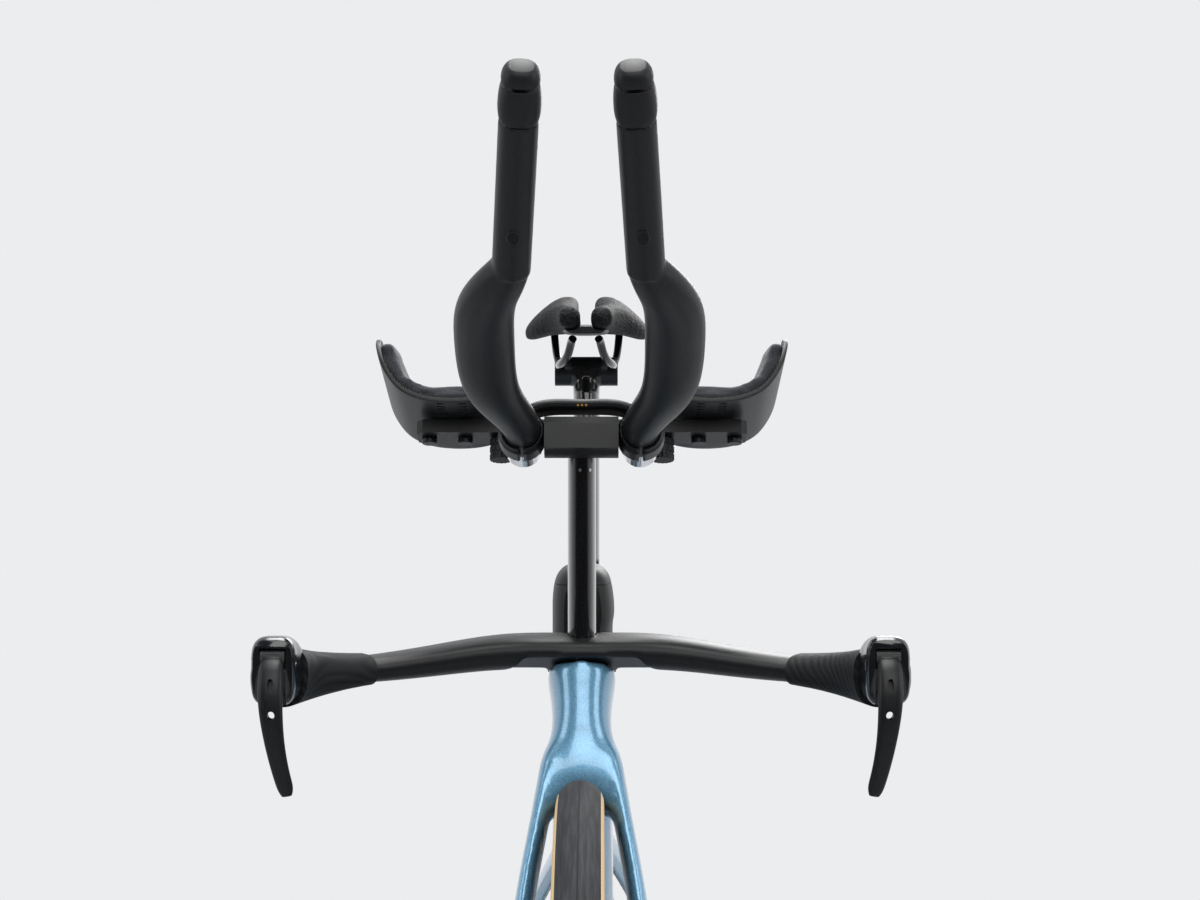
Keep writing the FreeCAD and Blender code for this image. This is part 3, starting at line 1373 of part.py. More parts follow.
# Points across a cup, from its inner edge to its outer tip: out from its middle, then up.
cup_shares = ((-0.5, 0.55), (-0.46, 0.3), (-0.36, 0.12), (-0.2, 0.035), (0, 0.02), (0.18, 0.07), (0.33, 0.21),
              (0.44, 0.48), (0.492, 0.78), (0.5, 1))
bar_floor = size.head_block_height * block_high_share + size.arm_rise
cup_floor = bar_floor + size.arm_bar_thickness
bar_x = size.arm_bar_width / 2 - size.head_block_back + size.head_block_step / 2
arm_bar_inner_share = 0.08
foot_share = 0.42
pad_end_share = 0.06


def cup_points():
    return [Vector(0, size.cup_middle + size.cup_width * out, cup_floor + size.cup_height * up) for out,
            up in cup_shares]


def offset_points(points, amount):
    moved = []
    last = len(points) - 1
    for index, point in enumerate(points):
        heading = points[min(index + 1, last)] - points[max(index - 1, 0)]
        heading.normalize()
        moved.append(point + Vector(0, -heading.z, heading.y) * amount)
    return moved


# A curved band that follows the cup, between two distances in from its outside.
def cup_band(near, far, start, length):
    points = cup_points()
    outer, inner = Part.BSplineCurve(), Part.BSplineCurve()
    outer.interpolate(offset_points(points, near))
    inner.interpolate(offset_points(points, far))
    edges = [outer.toShape(), inner.toShape()]
    ends = [Part.makeLine(outer.value(at(outer)), inner.value(at(inner)))
            for at in (lambda curve: curve.FirstParameter, lambda curve: curve.LastParameter)]
    face = Part.Face(Part.Wire(Part.__sortEdges__(edges + ends)))
    face.translate(forward * start)
    return face.extrude(forward * -length)


def bolt_places():
    middle = size.cup_middle
    return [Vector(bar_x, middle + size.arm_bolt_spacing * part / 2, bar_floor) for part in (-1, 1)]


def arm_bolt(place):
    shaft = cylinder(size.arm_bolt_radius, size.arm_bar_thickness + size.cup_thickness * foot_share, place,
                     upward)
    head = cylinder(size.arm_bolt_head_radius, size.arm_bolt_head_height,
                    place - upward * size.arm_bolt_head_height, upward)
    return fused(shaft, head)


def cup_shape():
    start = size.cup_front
    shell = cup_band(0, size.cup_thickness, start, size.cup_length)
    foot = block(size.arm_bar_width, size.cup_width * foot_share, size.cup_thickness,
                 Vector(bar_x, size.cup_middle, cup_floor + size.cup_thickness / 2))
    solid = fused(shell, foot)
    for place in bolt_places():
        solid = solid.cut(arm_bolt(place))
    return in_cockpit(solid)


def arm_pad_shape():
    near = size.cup_thickness
    start = size.cup_front - size.cup_length * pad_end_share
    length = size.cup_length * (1 - pad_end_share * 2)
    pad = cup_band(near, near + size.arm_pad_thickness, start, length)
    limit = cup_floor + size.cup_height - size.arm_pad_inset
    lid = block(size.cup_length * 3, size.cup_width * 3, size.cup_height, Vector(0, size.cup_middle,
                                                                                limit + size.cup_height / 2))
    return in_cockpit(pad.cut(lid))


def arm_bar_body(label, side):
    body = new_body(label, keep=False)
    inner, outer = f"{side} * dims.arm_bar_reach * {arm_bar_inner_share}", f"{side} * dims.arm_bar_reach"
    bevel = f"{side} * (dims.arm_bar_reach - dims.arm_bar_bevel)"
    rear = "-dims.head_block_back + dims.head_block_step / 2"
    front = f"{rear} + dims.arm_bar_width"
    corners = [(rear, inner), (front, inner), (front, bevel), (f"{front} - dims.arm_bar_bevel", outer),
               (f"{rear} + dims.arm_bar_bevel", outer), (rear, bevel)]
    holes = [(f"({rear} + {front}) / 2", f"{side} * (dims.cup_middle + {part} * dims.arm_bolt_spacing / 2)",
              "dims.arm_bolt_radius") for part in (-1, 1)]
    add_pad(body, draw(body, "XY_Plane", corners, holes), "dims.arm_bar_thickness", centred=False)
    body.Placement = cockpit.multiply(Placement(upward * bar_floor, Rotation()))
    return body


def adjuster():
    place = Vector(bar_x, size.adjuster_place, bar_floor)
    return cylinder(size.adjuster_radius, size.adjuster_length, place, upward * -1)


def cockpit_bolts():
    made = [arm_bolt(place) for place in bolt_places()] + [adjuster()]
    made += [mirrored(bolt) for bolt in made]
    return Part.makeCompound([in_cockpit(bolt) for bolt in made] + [lever_pin(), mirrored(lever_pin())])


group("arm_brackets", [arm_bar_body("arm_bracket_left", 1), arm_bar_body("arm_bracket_right", -1)])
pair("arm_cup", cup_shape())
pair("arm_pad", arm_pad_shape())
node("cockpit_bolts", cockpit_bolts())


# Fuel box on the top tube

# Rows: place from front to back, then width and height.
box_shares = ((0, 0.6, 0.74), (0.05, 0.84, 0.93), (0.2, 1, 1), (0.55, 0.97, 0.98), (0.85, 0.84, 0.9),
              (1, 0.66, 0.78))
hinge_place_share = 0.84
box_start = head_top + Vector(-size.box_front, 0, size.box_middle_rise)
box_lid_edge = box_start.z + size.box_height / 2 - size.box_lid_depth
box_hinge = box_start - forward * (size.box_length * hinge_place_share)
box_hinge.z = box_lid_edge + size.box_hinge_rise


def box_loft(inset):
    stations = []
    for place, wide, high in box_shares:
        middle = box_start - forward * (inset + (size.box_length - inset * 2) * place)
        stations.append((middle, size.box_width * wide - inset * 2, size.box_height * high - inset * 2))
    return tube(stations, left, firm_square)


# Everything over a height and ahead of the hinge.
def lid_region(edge, rear):
    length = size.box_length * 2
    return block(length, size.box_width * 2, size.box_height,
                 Vector(rear + length / 2, 0, edge + size.box_height / 2))


def box_hinge_rod(play):
    return cross_cylinder(size.box_hinge_radius + play, size.box_hinge_width + play * 2, box_hinge)


def box_shell():
    floor = box_start.z - size.box_middle_rise + size.box_floor_rise
    cavity = box_loft(size.box_wall).common(lid_region(floor, box_hinge.x - size.box_length))
    return box_loft(0).cut(cavity)


def box_shape():
    solid = box_shell().cut(lid_region(box_lid_edge - size.box_lid_gap, box_hinge.x - size.box_lid_gap))
    return solid.cut(box_hinge_rod(size.box_lid_gap)).cut(frame_solid)


def box_lid_shape():
    lid = box_shell().common(lid_region(box_lid_edge, box_hinge.x))
    return fused(lid, box_hinge_rod(0))


node("fuel_box", box_shape())
node("fuel_box_lid", box_lid_shape())


# Seatpost and saddle

# Rows along a rail: forward from the clamp, out from the middle, then up to its ends.
rail_shares = ((0.34, 0.5, 1), (0.29, 0.62, 0.62), (0.235, 0.82, 0.16), (0.17, 1, 0), (0, 1, 0),
               (-0.19, 1, 0),
               (-0.26, 1.12, 0.2), (-0.33, 1.3, 1.1), (-0.37, 1.36, 1.75))
# Rows along half of the saddle: place from the nose, out, rise, width, height and roll in degrees.
saddle_shares = ((0, 0.2, 0, 0.22, 0.5, 0), (0.025, 0.2, 0, 0.32, 0.84, 0), (0.15, 0.21, 0.05, 0.36, 0.96, 2),
                 (0.35, 0.235, 0.15, 0.4, 1, 5), (0.55, 0.315, 0.35, 0.55, 1.04, 14),
                 (0.74, 0.44, 0.72, 0.8, 1.08, 24),
                 (0.9, 0.5, 1, 0.9, 1, 28), (0.98, 0.48, 1, 0.76, 0.76, 28), (1, 0.45, 0.96, 0.6, 0.46, 27))
# Rows along the saddle's base: place, rise and width.
base_shares = ((0.05, 0, 0.5), (0.3, 0.1, 0.58), (0.5, 0.3, 0.66), (0.72, 0.7, 1.05), (0.9, 0.95, 1.1),
               (0.97, 0.95, 0.9))
base_drop_share = 0.46
post_stop_share = 1.6
post_taper_share = 0.72
post_top_shares = (0.9, 1.8)


def post_shape():
    stop = saddle_clamp_middle + post_setback - seat_up * (size.post_head_radius * post_stop_share)
    blade = post_blade(post_foot, stop, 0)
    wide, deep = post_top_shares
    neck = [(stop, size.post_width, size.post_depth),
            (between(stop, saddle_clamp_middle, 0.5), size.post_width, size.post_depth * post_taper_share),
            (saddle_clamp_middle, size.post_width * wide, size.post_head_radius * deep)]
    head = cross_cylinder(size.post_head_radius, size.post_head_width, saddle_clamp_middle)
    solid = fused(blade, tube(neck, left), head)
    return solid.cut(cross_cylinder(size.saddle_bolt_radius, size.saddle_width, saddle_clamp_middle))


def rail():
    start = saddle_clamp_middle + upward * size.rail_lift
    stations = [(start + Vector(size.saddle_length * ahead, size.rail_spread * out, size.rail_rise * rise),
                 size.rail_radius * 2, size.rail_radius * 2) for ahead, out, rise in rail_shares]
    return tube(stations, left, round_tube)


def saddle_clamp_shape():
    disc_start = saddle_clamp_middle + left * (size.post_head_width / 2)
    jaw = cylinder(size.saddle_disc_radius, size.saddle_disc_width + size.rail_radius, disc_start, left)
    bolt = cross_cylinder(size.saddle_bolt_radius, size.post_head_width, saddle_clamp_middle)
    solid = fused(bolt, jaw, mirrored(jaw))
    return solid.cut(rail()).cut(mirrored(rail()))


def saddle_place(place, out, rise):
    nose = saddle_clamp_middle + Vector(size.saddle_nose_ahead, 0, size.saddle_rise)
    return nose + Vector(-size.saddle_length * place, size.saddle_width / 2 * out, size.saddle_kick * rise)


def saddle_pad():
    stations, guides = [], []
    for place, out, rise, wide, high, roll in saddle_shares:
        lean = math.radians(roll)
        guides.append(Vector(0, math.cos(lean), -math.sin(lean)))
        stations.append((saddle_place(place, out, rise), size.saddle_width / 2 * wide,
                         size.saddle_pad_height * high))
    return tube(stations, guides)


def saddle_base_shape(pad):
    drop = upward * (size.saddle_pad_height * base_drop_share)
    stations = [(saddle_place(place, 0, rise) - drop, size.saddle_width / 2 * wide,
                 size.saddle_base_thickness)
                for place, rise, wide in base_shares]
    solid = tube(stations, left)
    for space in (pad, mirrored(pad), rail(), mirrored(rail())):
        solid = solid.cut(space)
    return solid


pad_solid = saddle_pad()
node("seatpost", post_shape())
node("saddle_clamp", saddle_clamp_shape())
rail_solid = rail().cut(pad_solid)
node("saddle_rails", Part.makeCompound([rail_solid, mirrored(rail_solid)]))
node("saddle_base", saddle_base_shape(pad_solid))
node("saddle_pads", Part.makeCompound([pad_solid, mirrored(pad_solid)]))


# Check and export

doc.recompute()
os.makedirs("parts", exist_ok=True)
for made in nodes:
    if "Invalid" in made.State or "Error" in made.State:
        raise RuntimeError(f"{made.Label} did not compute")
    if made.Shape.isNull() or not made.Shape.isValid():
        raise RuntimeError(f"{made.Label} has no valid shape")
    made.Shape.exportStep(f"parts/{made.Label}.step")
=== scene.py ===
import json
import math

import bmesh
import bpy
from mathutils import Matrix, Vector
from mathutils.bvhtree import BVHTree


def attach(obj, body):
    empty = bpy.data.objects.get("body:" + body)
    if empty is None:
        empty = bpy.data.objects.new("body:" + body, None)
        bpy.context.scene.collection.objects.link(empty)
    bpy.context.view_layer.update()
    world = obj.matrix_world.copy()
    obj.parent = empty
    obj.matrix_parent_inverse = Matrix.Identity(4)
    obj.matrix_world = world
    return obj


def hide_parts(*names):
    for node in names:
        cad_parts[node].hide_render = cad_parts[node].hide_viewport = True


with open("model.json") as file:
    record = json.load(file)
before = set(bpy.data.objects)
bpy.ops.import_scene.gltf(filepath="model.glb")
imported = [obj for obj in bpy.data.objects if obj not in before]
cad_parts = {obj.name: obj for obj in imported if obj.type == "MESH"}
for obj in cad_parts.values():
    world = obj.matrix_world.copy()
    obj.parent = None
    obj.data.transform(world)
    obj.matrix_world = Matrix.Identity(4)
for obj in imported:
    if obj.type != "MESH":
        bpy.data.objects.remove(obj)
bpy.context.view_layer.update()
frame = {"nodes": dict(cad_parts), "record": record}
nodes = frame["nodes"]
bodyOf = {node: body for body, members in frame["record"]["behaviour"]["bodies"].items() for node in members}
scene = bpy.context.scene
print("frame loaded:", len(nodes), "nodes")


def addObject(name, data):
    made = bpy.data.objects.new(name, data)
    scene.collection.objects.link(made)
    return made


# Camera

shot = {"place": (1.9085, 0.012, 0.8776), "lens": 72.06, "sensor": 36,
        "middle": (600, 450), "focal": 2402}  # these two in pixels of the photo


def makeCamera():
    camera = bpy.data.cameras.new("camera")
    camera.lens, camera.sensor_width = shot["lens"], shot["sensor"]
    made = addObject("camera", camera)
    made.location = shot["place"]
    made.rotation_euler = (math.radians(90), 0, math.radians(90))
    scene.camera = made


makeCamera()
print("camera set")


# Nodes and materials

def linearColour(code):
    channels = [int(code[index:index + 2], 16) / 255 for index in (1, 3, 5)]
    return [c / 12.92 if c <= 0.04045 else ((c + 0.055) / 1.055) ** 2.4 for c in channels] + [1]


# settings fill sockets, the node's own fields or a ramp's stops
def addNode(tree, kind, settings={}, links={}):
    made = tree.nodes.new(kind)
    for key, value in settings.items():
        if key == "stops":
            marks = made.color_ramp.elements
            for index, (place, colour) in enumerate(value):
                mark = marks[index] if index < 2 else marks.new(place)
                mark.position, mark.color = place, linearColour(colour)
        elif isinstance(key, int) or key in made.inputs:
            made.inputs[key].default_value = value
        else:
            setattr(made, key, value)
    for key, socket in links.items():
        tree.links.new(socket, made.inputs[key])
    return made


def newMaterial(name, colour, roughness, sockets={}):
    material = bpy.data.materials.new(name)
    material.use_nodes = True
    material.diffuse_color = linearColour(colour)
    shader = material.node_tree.nodes["Principled BSDF"]
    shader.inputs["Base Color"].default_value = linearColour(colour)
    shader.inputs["Roughness"].default_value = roughness
    for key, value in sockets.items():
        shader.inputs[key].default_value = value
    return material, material.node_tree, shader


def wire(tree, shader, links):
    for key, socket in links.items():
        tree.links.new(socket, shader.inputs[key])


def surfacePlace(tree, mapping=None):  # a point's place in metres, turned or stretched
    place = addNode(tree, "ShaderNodeTexCoord").outputs["Object"]
    if mapping:
        place = addNode(tree, "ShaderNodeMapping", mapping, {"Vector": place}).outputs["Vector"]
    return place


def noise(tree, place, sizeMm, detail):  # a cloudy pattern with patches of about that size
    settings = {"Scale": 1000 / sizeMm, "Detail": detail}
    return addNode(tree, "ShaderNodeTexNoise", settings, {"Vector": place}).outputs["Fac"]


def bands(tree, settings):  # a striped pattern
    return addNode(tree, "ShaderNodeTexWave", settings, {"Vector": surfacePlace(tree)}).outputs["Fac"]


def tones(tree, pattern, *stops):  # colours spread along a pattern
    return addNode(tree, "ShaderNodeValToRGB", {"stops": stops}, {"Fac": pattern}).outputs["Color"]


def polish(tree, pattern, low, high):  # roughness spread along a pattern
    settings = {"To Min": low, "To Max": high}
    return addNode(tree, "ShaderNodeMapRange", settings, {"Value": pattern}).outputs["Result"]


def relief(tree, pattern, height):  # bumps along a pattern, their height in metres
    settings = {"Strength": 1.0, "Distance": height}
    return addNode(tree, "ShaderNodeBump", settings, {"Height": pattern}).outputs["Normal"]


def metallicPaint():  # car paint: fine flakes under clear lacquer, deep in the shade and milky in the light
    material, tree, shader = newMaterial("metallicPaint", "#5B9BC0", 0.34, {
        "Metallic": 0.5, "Coat Weight": 1.0, "Coat Roughness": 0.04})
    flakes = noise(tree, surfacePlace(tree), 0.9, 1.0)  # coarser than real
    wire(tree, shader, {"Base Color": tones(tree, flakes, (0.3, "#598EAF"), (0.7, "#7CAECB")),
                        "Roughness": polish(tree, flakes, 0.26, 0.42)})
    return material


def lacqueredCarbon():  # clear-coated twill: nearly black, with a faint cross weave under a wet gloss
    material, tree, shader = newMaterial("lacqueredCarbon", "#070708", 0.3, {
        "Specular IOR Level": 0.15, "Coat Weight": 1.0, "Coat Roughness": 0.03})
    place = surfacePlace(tree, {"Rotation": (0.6, 0.78, 0.4)})
    weave = addNode(tree, "ShaderNodeTexChecker", {"Scale": 1000 / 2.2}, {"Vector": place}).outputs["Fac"]
    wire(tree, shader, {"Base Color": tones(tree, weave, (0.0, "#060607"), (1.0, "#0C0D0E"))})
    return material


def mattCarbon():  # moulded carbon with a satin lacquer: soft streaks of fibre, no clear reflections
    material, tree, shader = newMaterial("mattCarbon", "#131416", 0.42, {"Specular IOR Level": 0.28})
    streaks = noise(tree, surfacePlace(tree, {"Scale": (1, 7, 1)}), 5, 4.0)
    grain = noise(tree, surfacePlace(tree), 0.7, 1.0)
    wire(tree, shader, {"Base Color": tones(tree, streaks, (0.3, "#0E0F10"), (0.7, "#18191B")),
                        "Roughness": polish(tree, streaks, 0.34, 0.46),
                        "Normal": relief(tree, grain, 0.00002)})
    return material


def mouldedNylon():  # glass-filled nylon from a spark-eroded mould: even fine grain, dull shine
    material, tree, shader = newMaterial("mouldedNylon", "#111214", 0.5, {"Specular IOR Level": 0.3})
    grain = noise(tree, surfacePlace(tree), 0.6, 2.0)
    wire(tree, shader, {"Base Color": tones(tree, grain, (0.3, "#0D0E0F"), (0.7, "#151618")),
                        "Normal": relief(tree, grain, 0.00006)})
    return material


def glossNylon():  # polished lever housing: black with a soft clear shine
    material, tree, shader = newMaterial("glossNylon", "#101113", 0.2, {
        "Coat Weight": 0.4, "Coat Roughness": 0.06})
    cloud = noise(tree, surfacePlace(tree), 14, 2.0)
    wire(tree, shader, {"Base Color": tones(tree, cloud, (0.35, "#0D0E10"), (0.65, "#15161A"))})
    return material


def gripRubber():  # moulded rubber with fine fanned grooves, about 4 mm apart
    material, tree, shader = newMaterial("gripRubber", "#121315", 0.66, {"Specular IOR Level": 0.3})
    fan = bands(tree, {"bands_direction": "DIAGONAL", "Scale": 90.0, "Distortion": 5.0, "Detail": 1.0,
                       "Detail Scale": 0.6})
    wire(tree, shader, {"Base Color": tones(tree, fan, (0.1, "#0B0C0D"), (0.6, "#17181A")),
                        "Normal": relief(tree, fan, 0.00022)})
    return material


def treadRubber():  # vulcanised rubber: dry, streaked the way it rolls, the mould's line round its middle
    material, tree, shader = newMaterial("treadRubber", "#2C2D30", 0.72, {"Specular IOR Level": 0.25})
    axes = addNode(tree, "ShaderNodeSeparateXYZ", links={"Vector": surfacePlace(tree)})
    out = addNode(tree, "ShaderNodeMath", {"operation": "ABSOLUTE"}, {0: axes.outputs["Y"]})
    line = addNode(tree, "ShaderNodeMath", {"operation": "LESS_THAN", 1: 0.0005}, {0: out.outputs["Value"]})
    streaks = noise(tree, surfacePlace(tree, {"Scale": (0.06, 1, 0.06)}), 1.6, 3.0)
    marked = addNode(tree, "ShaderNodeMath", {"operation": "MULTIPLY_ADD", 1: -0.5},
                     {0: line.outputs["Value"], 2: streaks}).outputs["Value"]
    wire(tree, shader, {
        "Base Color": tones(tree, marked, (0.15, "#141517"), (0.45, "#27282B"), (0.75, "#3B3C40")),
        "Normal": relief(tree, marked, 0.0002)})
    return material


def tanCasing():  # cotton casing showing through clear rubber: tan, with close slanting threads
    material, tree, shader = newMaterial("tanCasing", "#D9B682", 0.6)
    # threads about 1.4 mm apart, coarser than real
    threads = bands(tree, {"bands_direction": "DIAGONAL", "Scale": 260.0, "Distortion": 0.6})
    wire(tree, shader, {"Base Color": tones(tree, threads, (0.0, "#C9A26B"), (1.0, "#E6CA9A")),
                        "Normal": relief(tree, threads, 0.00005)})
    return material


# a metal whose grain sets its colour and shine
def groundMetal(name, colour, metallic, grainMm, stretch, colours, polishes):
    material, tree, shader = newMaterial(name, colour, sum(polishes) / 2, {"Metallic": metallic})
    grain = noise(tree, surfacePlace(tree, {"Scale": stretch}), grainMm, 3.0)
    wire(tree, shader, {"Base Color": tones(tree, grain, (0.3, colours[0]), (0.7, colours[1])),
                        "Roughness": polish(tree, grain, *polishes)})
    return material


def padKnit():  # brushed knit over foam: grey-blue nap that pales where it turns away
    material, tree, shader = newMaterial("padKnit", "#1E2026", 0.9, {
        "Sheen Weight": 0.35, "Sheen Roughness": 0.45})
    nap = noise(tree, surfacePlace(tree), 1.4, 3.0)  # coarser than real
    wire(tree, shader, {"Base Color": tones(tree, nap, (0.3, "#17191E"), (0.7, "#272A31")),
                        "Normal": relief(tree, nap, 0.00035)})
    return material


def hookTape():  # hook-and-loop tape: short dark bristle in rows
    material, tree, shader = newMaterial("hookTape", "#0E0F10", 0.9)
    rows = bands(tree, {"bands_direction": "Y", "Scale": 170.0})  # rows 1.8 mm apart
    wire(tree, shader, {"Base Color": tones(tree, rows, (0.2, "#08090A"), (0.9, "#191A1C")),
                        "Normal": relief(tree, rows, 0.0005)})
    return material


def saddleSkin():  # printed elastomer cover in one dark colour: the sunk cells painted darker and their walls paler, as painted shade and light
    material, tree, shader = newMaterial("saddleSkin", "#0C0D0E", 0.6, {"Specular IOR Level": 0.14})
    cells = addNode(tree, "ShaderNodeTexVoronoi", {"feature": "DISTANCE_TO_EDGE", "Scale": 1000 / 5},
                    {"Vector": surfacePlace(tree)}).outputs["Distance"]
    walls = addNode(tree, "ShaderNodeMath", {"operation": "MINIMUM", 1: 0.14}, {0: cells})
    sunk = addNode(tree, "ShaderNodeMath", {"operation": "MULTIPLY", 1: -6.0}, {0: walls.outputs["Value"]})
    # darker cell hollows and paler walls are painted shade and light, not the elastomer's own colour
    wire(tree, shader, {"Base Color": tones(tree, cells, (0.02, "#191A1D"), (0.1, "#08090A")),
                        "Normal": relief(tree, sunk.outputs["Value"], 0.0008)})
    return material


def darkHole():  # the unlit inside of a hole
    material, tree, shader = newMaterial("darkHole", "#060607", 0.9)
    cloud = noise(tree, surfacePlace(tree), 2, 2.0)
    wire(tree, shader, {"Base Color": tones(tree, cloud, (0.3, "#040405"), (0.7, "#090A0B"))})
    return material


paint, gloss, satin = metallicPaint(), lacqueredCarbon(), mattCarbon()
nylon, shine, rubber = mouldedNylon(), glossNylon(), gripRubber()
tread, casing = treadRubber(), tanCasing()
evenGrain = (1, 1, 1)
# bead-blasted aluminium, anodised black: dark metal with a soft sheen
alloy = groundMetal("blackAlloy", "#2B2C2F", 0.85, 0.8, evenGrain, ("#232427", "#333438"), (0.3, 0.44))
# ground stainless steel: bright with fine scratches
steel = groundMetal("brushedSteel", "#B4B6B9", 1.0, 1.2, (1, 1, 9), ("#A2A4A7", "#C6C8CA"), (0.2, 0.42))
# nickel-plated chain and sprockets: grey, a little oily
nickel = groundMetal("nickelSteel", "#8C8E92", 1.0, 6.0, evenGrain, ("#77797D", "#A0A2A6"), (0.2, 0.4))
# mirror-polished aluminium, faintly hazed
mirrorAlloy = groundMetal("polishedAlloy", "#E4E6E8", 1.0, 8.0, evenGrain, ("#DFE1E4", "#ECEEF0"),
                          (0.06, 0.18))
# bare brass contacts
brass = groundMetal("brassPlate", "#C79A4C", 1.0, 1.0, evenGrain, ("#BC8E42", "#D2A758"), (0.25, 0.4))
knit, tape, skin, hole = padKnit(), hookTape(), saddleSkin(), darkHole()
print("materials made:", len(bpy.data.materials))


# Making pieces

roundAngle = 40  # edges flatter than this are shaded smooth on rounded pieces
weld = 0.000005  # triangle corners closer than this are one


def meshFrom(bm, name):
    mesh = bpy.data.meshes.new(name)
    bm.to_mesh(mesh)
    bm.free()
    return mesh


def bmFrom(*meshes):
    bm = bmesh.new()
    for mesh in meshes:
        bm.from_mesh(mesh)
    return bm


def addEase(draft, width, angle):  # rounds edges sharper than the angle
    ease = draft.modifiers.new("ease", "BEVEL")
    ease.width, ease.segments, ease.limit_method = width, 2, "ANGLE"
    ease.angle_limit = math.radians(angle)


def addShell(draft, voxel):  # wraps everything in one closed skin
    shell = draft.modifiers.new("shell", "REMESH")
    shell.mode, shell.voxel_size = "VOXEL", voxel


def addFlow(draft, rounds, group=""):  # evens a skin out
    flow = draft.modifiers.new("flow", "SMOOTH")
    flow.factor, flow.iterations, flow.vertex_group = 0.5, rounds, group


def finishPiece(bm, name, body, materials, stands=(), sharp=35):
    return placePiece(meshFrom(bm, name), name, body, materials, stands, sharp)


def placePiece(mesh, name, body, materials, stands=(), sharp=35):
    marks = [polygon.material_index for polygon in mesh.polygons]
    mesh.materials.clear()
    for material in materials:
        mesh.materials.append(material)
    if len(materials) > 1:
        mesh.polygons.foreach_set("material_index", marks)
    mesh.shade_smooth()
    mesh.set_sharp_from_angle(angle=math.radians(sharp))
    piece = addObject(name, mesh)
    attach(piece, body)
    if stands:
        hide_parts(*stands)
    return piece


def cadCopy(node):  # a CAD node's triangles, joined up
    bm = bmFrom(nodes[node].data)
    bmesh.ops.remove_doubles(bm, verts=bm.verts, dist=weld)
    bmesh.ops.dissolve_degenerate(bm, edges=bm.edges, dist=0.000002)
    return bm


def dressedNode(node, material, sharp=32, bevel=0.0):  # the CAD shape with smooth shading and eased edges
    bm = cadCopy(node)
    bmesh.ops.dissolve_limit(bm, angle_limit=math.radians(1.5), verts=bm.verts, edges=bm.edges)
    piece = finishPiece(bm, node + "_skin", bodyOf[node], [material], [node], sharp)
    if bevel:
        addEase(piece, bevel, roundAngle)


def settled(draft):  # the mesh that an object's modifiers lead to
    depsgraph = bpy.context.evaluated_depsgraph_get()
    mesh = bpy.data.meshes.new_from_object(draft.evaluated_get(depsgraph))
    bpy.data.objects.remove(draft)
    return mesh


def bakedMesh(bm, addModifiers):  # a mesh with modifiers applied
    draft = addObject("draft", meshFrom(bm, "draft"))
    addModifiers(draft)
    return settled(draft)


def blendedNode(node, materials, voxel, rounds, paintFaces=None):
    def melt(draft):  # joins drawn into one flowing skin, as moulded carbon is
        addShell(draft, voxel)
        addFlow(draft, rounds)
    mesh = bakedMesh(cadCopy(node), melt)
    placePiece(mesh, node + "_skin", bodyOf[node], materials, [node], sharp=60)
    if paintFaces:
        for polygon in mesh.polygons:
            polygon.material_index = paintFaces(polygon.center)


def addRound(bm, radius, length, place, axis, segments=24, tip=None):  # a round bar along an axis
    turn = Vector(axis).to_track_quat("Z", "Y").to_matrix().to_4x4()
    return bmesh.ops.create_cone(bm, cap_ends=True, segments=segments, radius1=radius,
                                 radius2=radius if tip is None else tip, depth=length,
                                 matrix=Matrix.Translation(place) @ turn)["verts"]


def addBlock(bm, lengths, place, turn):
    stretch = Matrix.Diagonal((*lengths, 1))
    bmesh.ops.create_cube(bm, size=1.0, matrix=Matrix.Translation(place) @ turn @ stretch)


# Frame and fork

neckLook = {"top": (0.3235, 0, 0.733), "length": 0.054, "voxel": 0.003, "rounds": 7, "neckRounds": 40,
            "reach": 0.055, "radius": 0.08, "turnRoom": 0.047, "cutBand": 0.01, "sharp": 50}
steerUp, steerAhead = Vector((-0.3007, 0, 0.9537)), Vector((0.9537, 0, 0.3007))
headLow = Vector(neckLook["top"]) - steerUp * neckLook["length"]


def headPlace(spot):  # offset from the foot of the head tube, height along it, and distance from its axis
    away = spot - headLow
    up = away.dot(steerUp)
    return away, up, (away - steerUp * up).length


def neckWeight(spot):  # how strongly a point is drawn into the neck's flow
    _, up, out = headPlace(spot)
    return max(0.0, 1 - abs(up) / neckLook["reach"]) if out < neckLook["radius"] else 0.0


def belongsToFork(spot):
    away, up, out = headPlace(spot)
    return up < 0 and (out < neckLook["turnRoom"] or away.dot(steerAhead) > 0)


def nearCut(spot):  # close enough to the headset's joint for the cut to pass
    away, up, _ = headPlace(spot)
    return abs(up) < neckLook["cutBand"] and away.length < neckLook["radius"]


def flowingFrame():  # frame and fork drawn as one skin, so that the joint between them lies flush
    bm = bmFrom(nodes["frame"].data, nodes["fork"].data)
    bmesh.ops.remove_doubles(bm, verts=bm.verts, dist=weld)
    whole = bakedMesh(bm, lambda draft: addShell(draft, neckLook["voxel"]))

    def flow(draft):
        neck = draft.vertex_groups.new(name="neck")
        for vert in draft.data.vertices:
            weight = neckWeight(vert.co)
            if weight:
                neck.add([vert.index], weight, "REPLACE")
        addFlow(draft, neckLook["rounds"])
        addFlow(draft, neckLook["neckRounds"], "neck")
    return bakedMesh(bmFrom(whole), flow)


def splitAtHeadset(whole):  # cuts the skin where the fork turns
    for name, body, wanted in (("frame", "frame", False), ("fork", "steering", True)):
        bm = bmFrom(whole)
        near = [face for face in bm.faces if nearCut(face.calc_center_median())]
        edges = list({edge for face in near for edge in face.edges})
        verts = list({vert for face in near for vert in face.verts})
        bmesh.ops.bisect_plane(bm, geom=near + edges + verts, dist=0.000001, plane_co=headLow,
                               plane_no=steerUp)
        away = [face for face in bm.faces if belongsToFork(face.calc_center_median()) != wanted]
        bmesh.ops.delete(bm, geom=away, context="FACES")
        bmesh.ops.holes_fill(bm, edges=[edge for edge in bm.edges if edge.is_boundary], sides=0)
        bmesh.ops.recalc_face_normals(bm, faces=bm.faces)
        finishPiece(bm, name + "_skin", body, [paint], [name], neckLook["sharp"])


splitAtHeadset(flowingFrame())
print("frame and fork drawn")


# Wheels

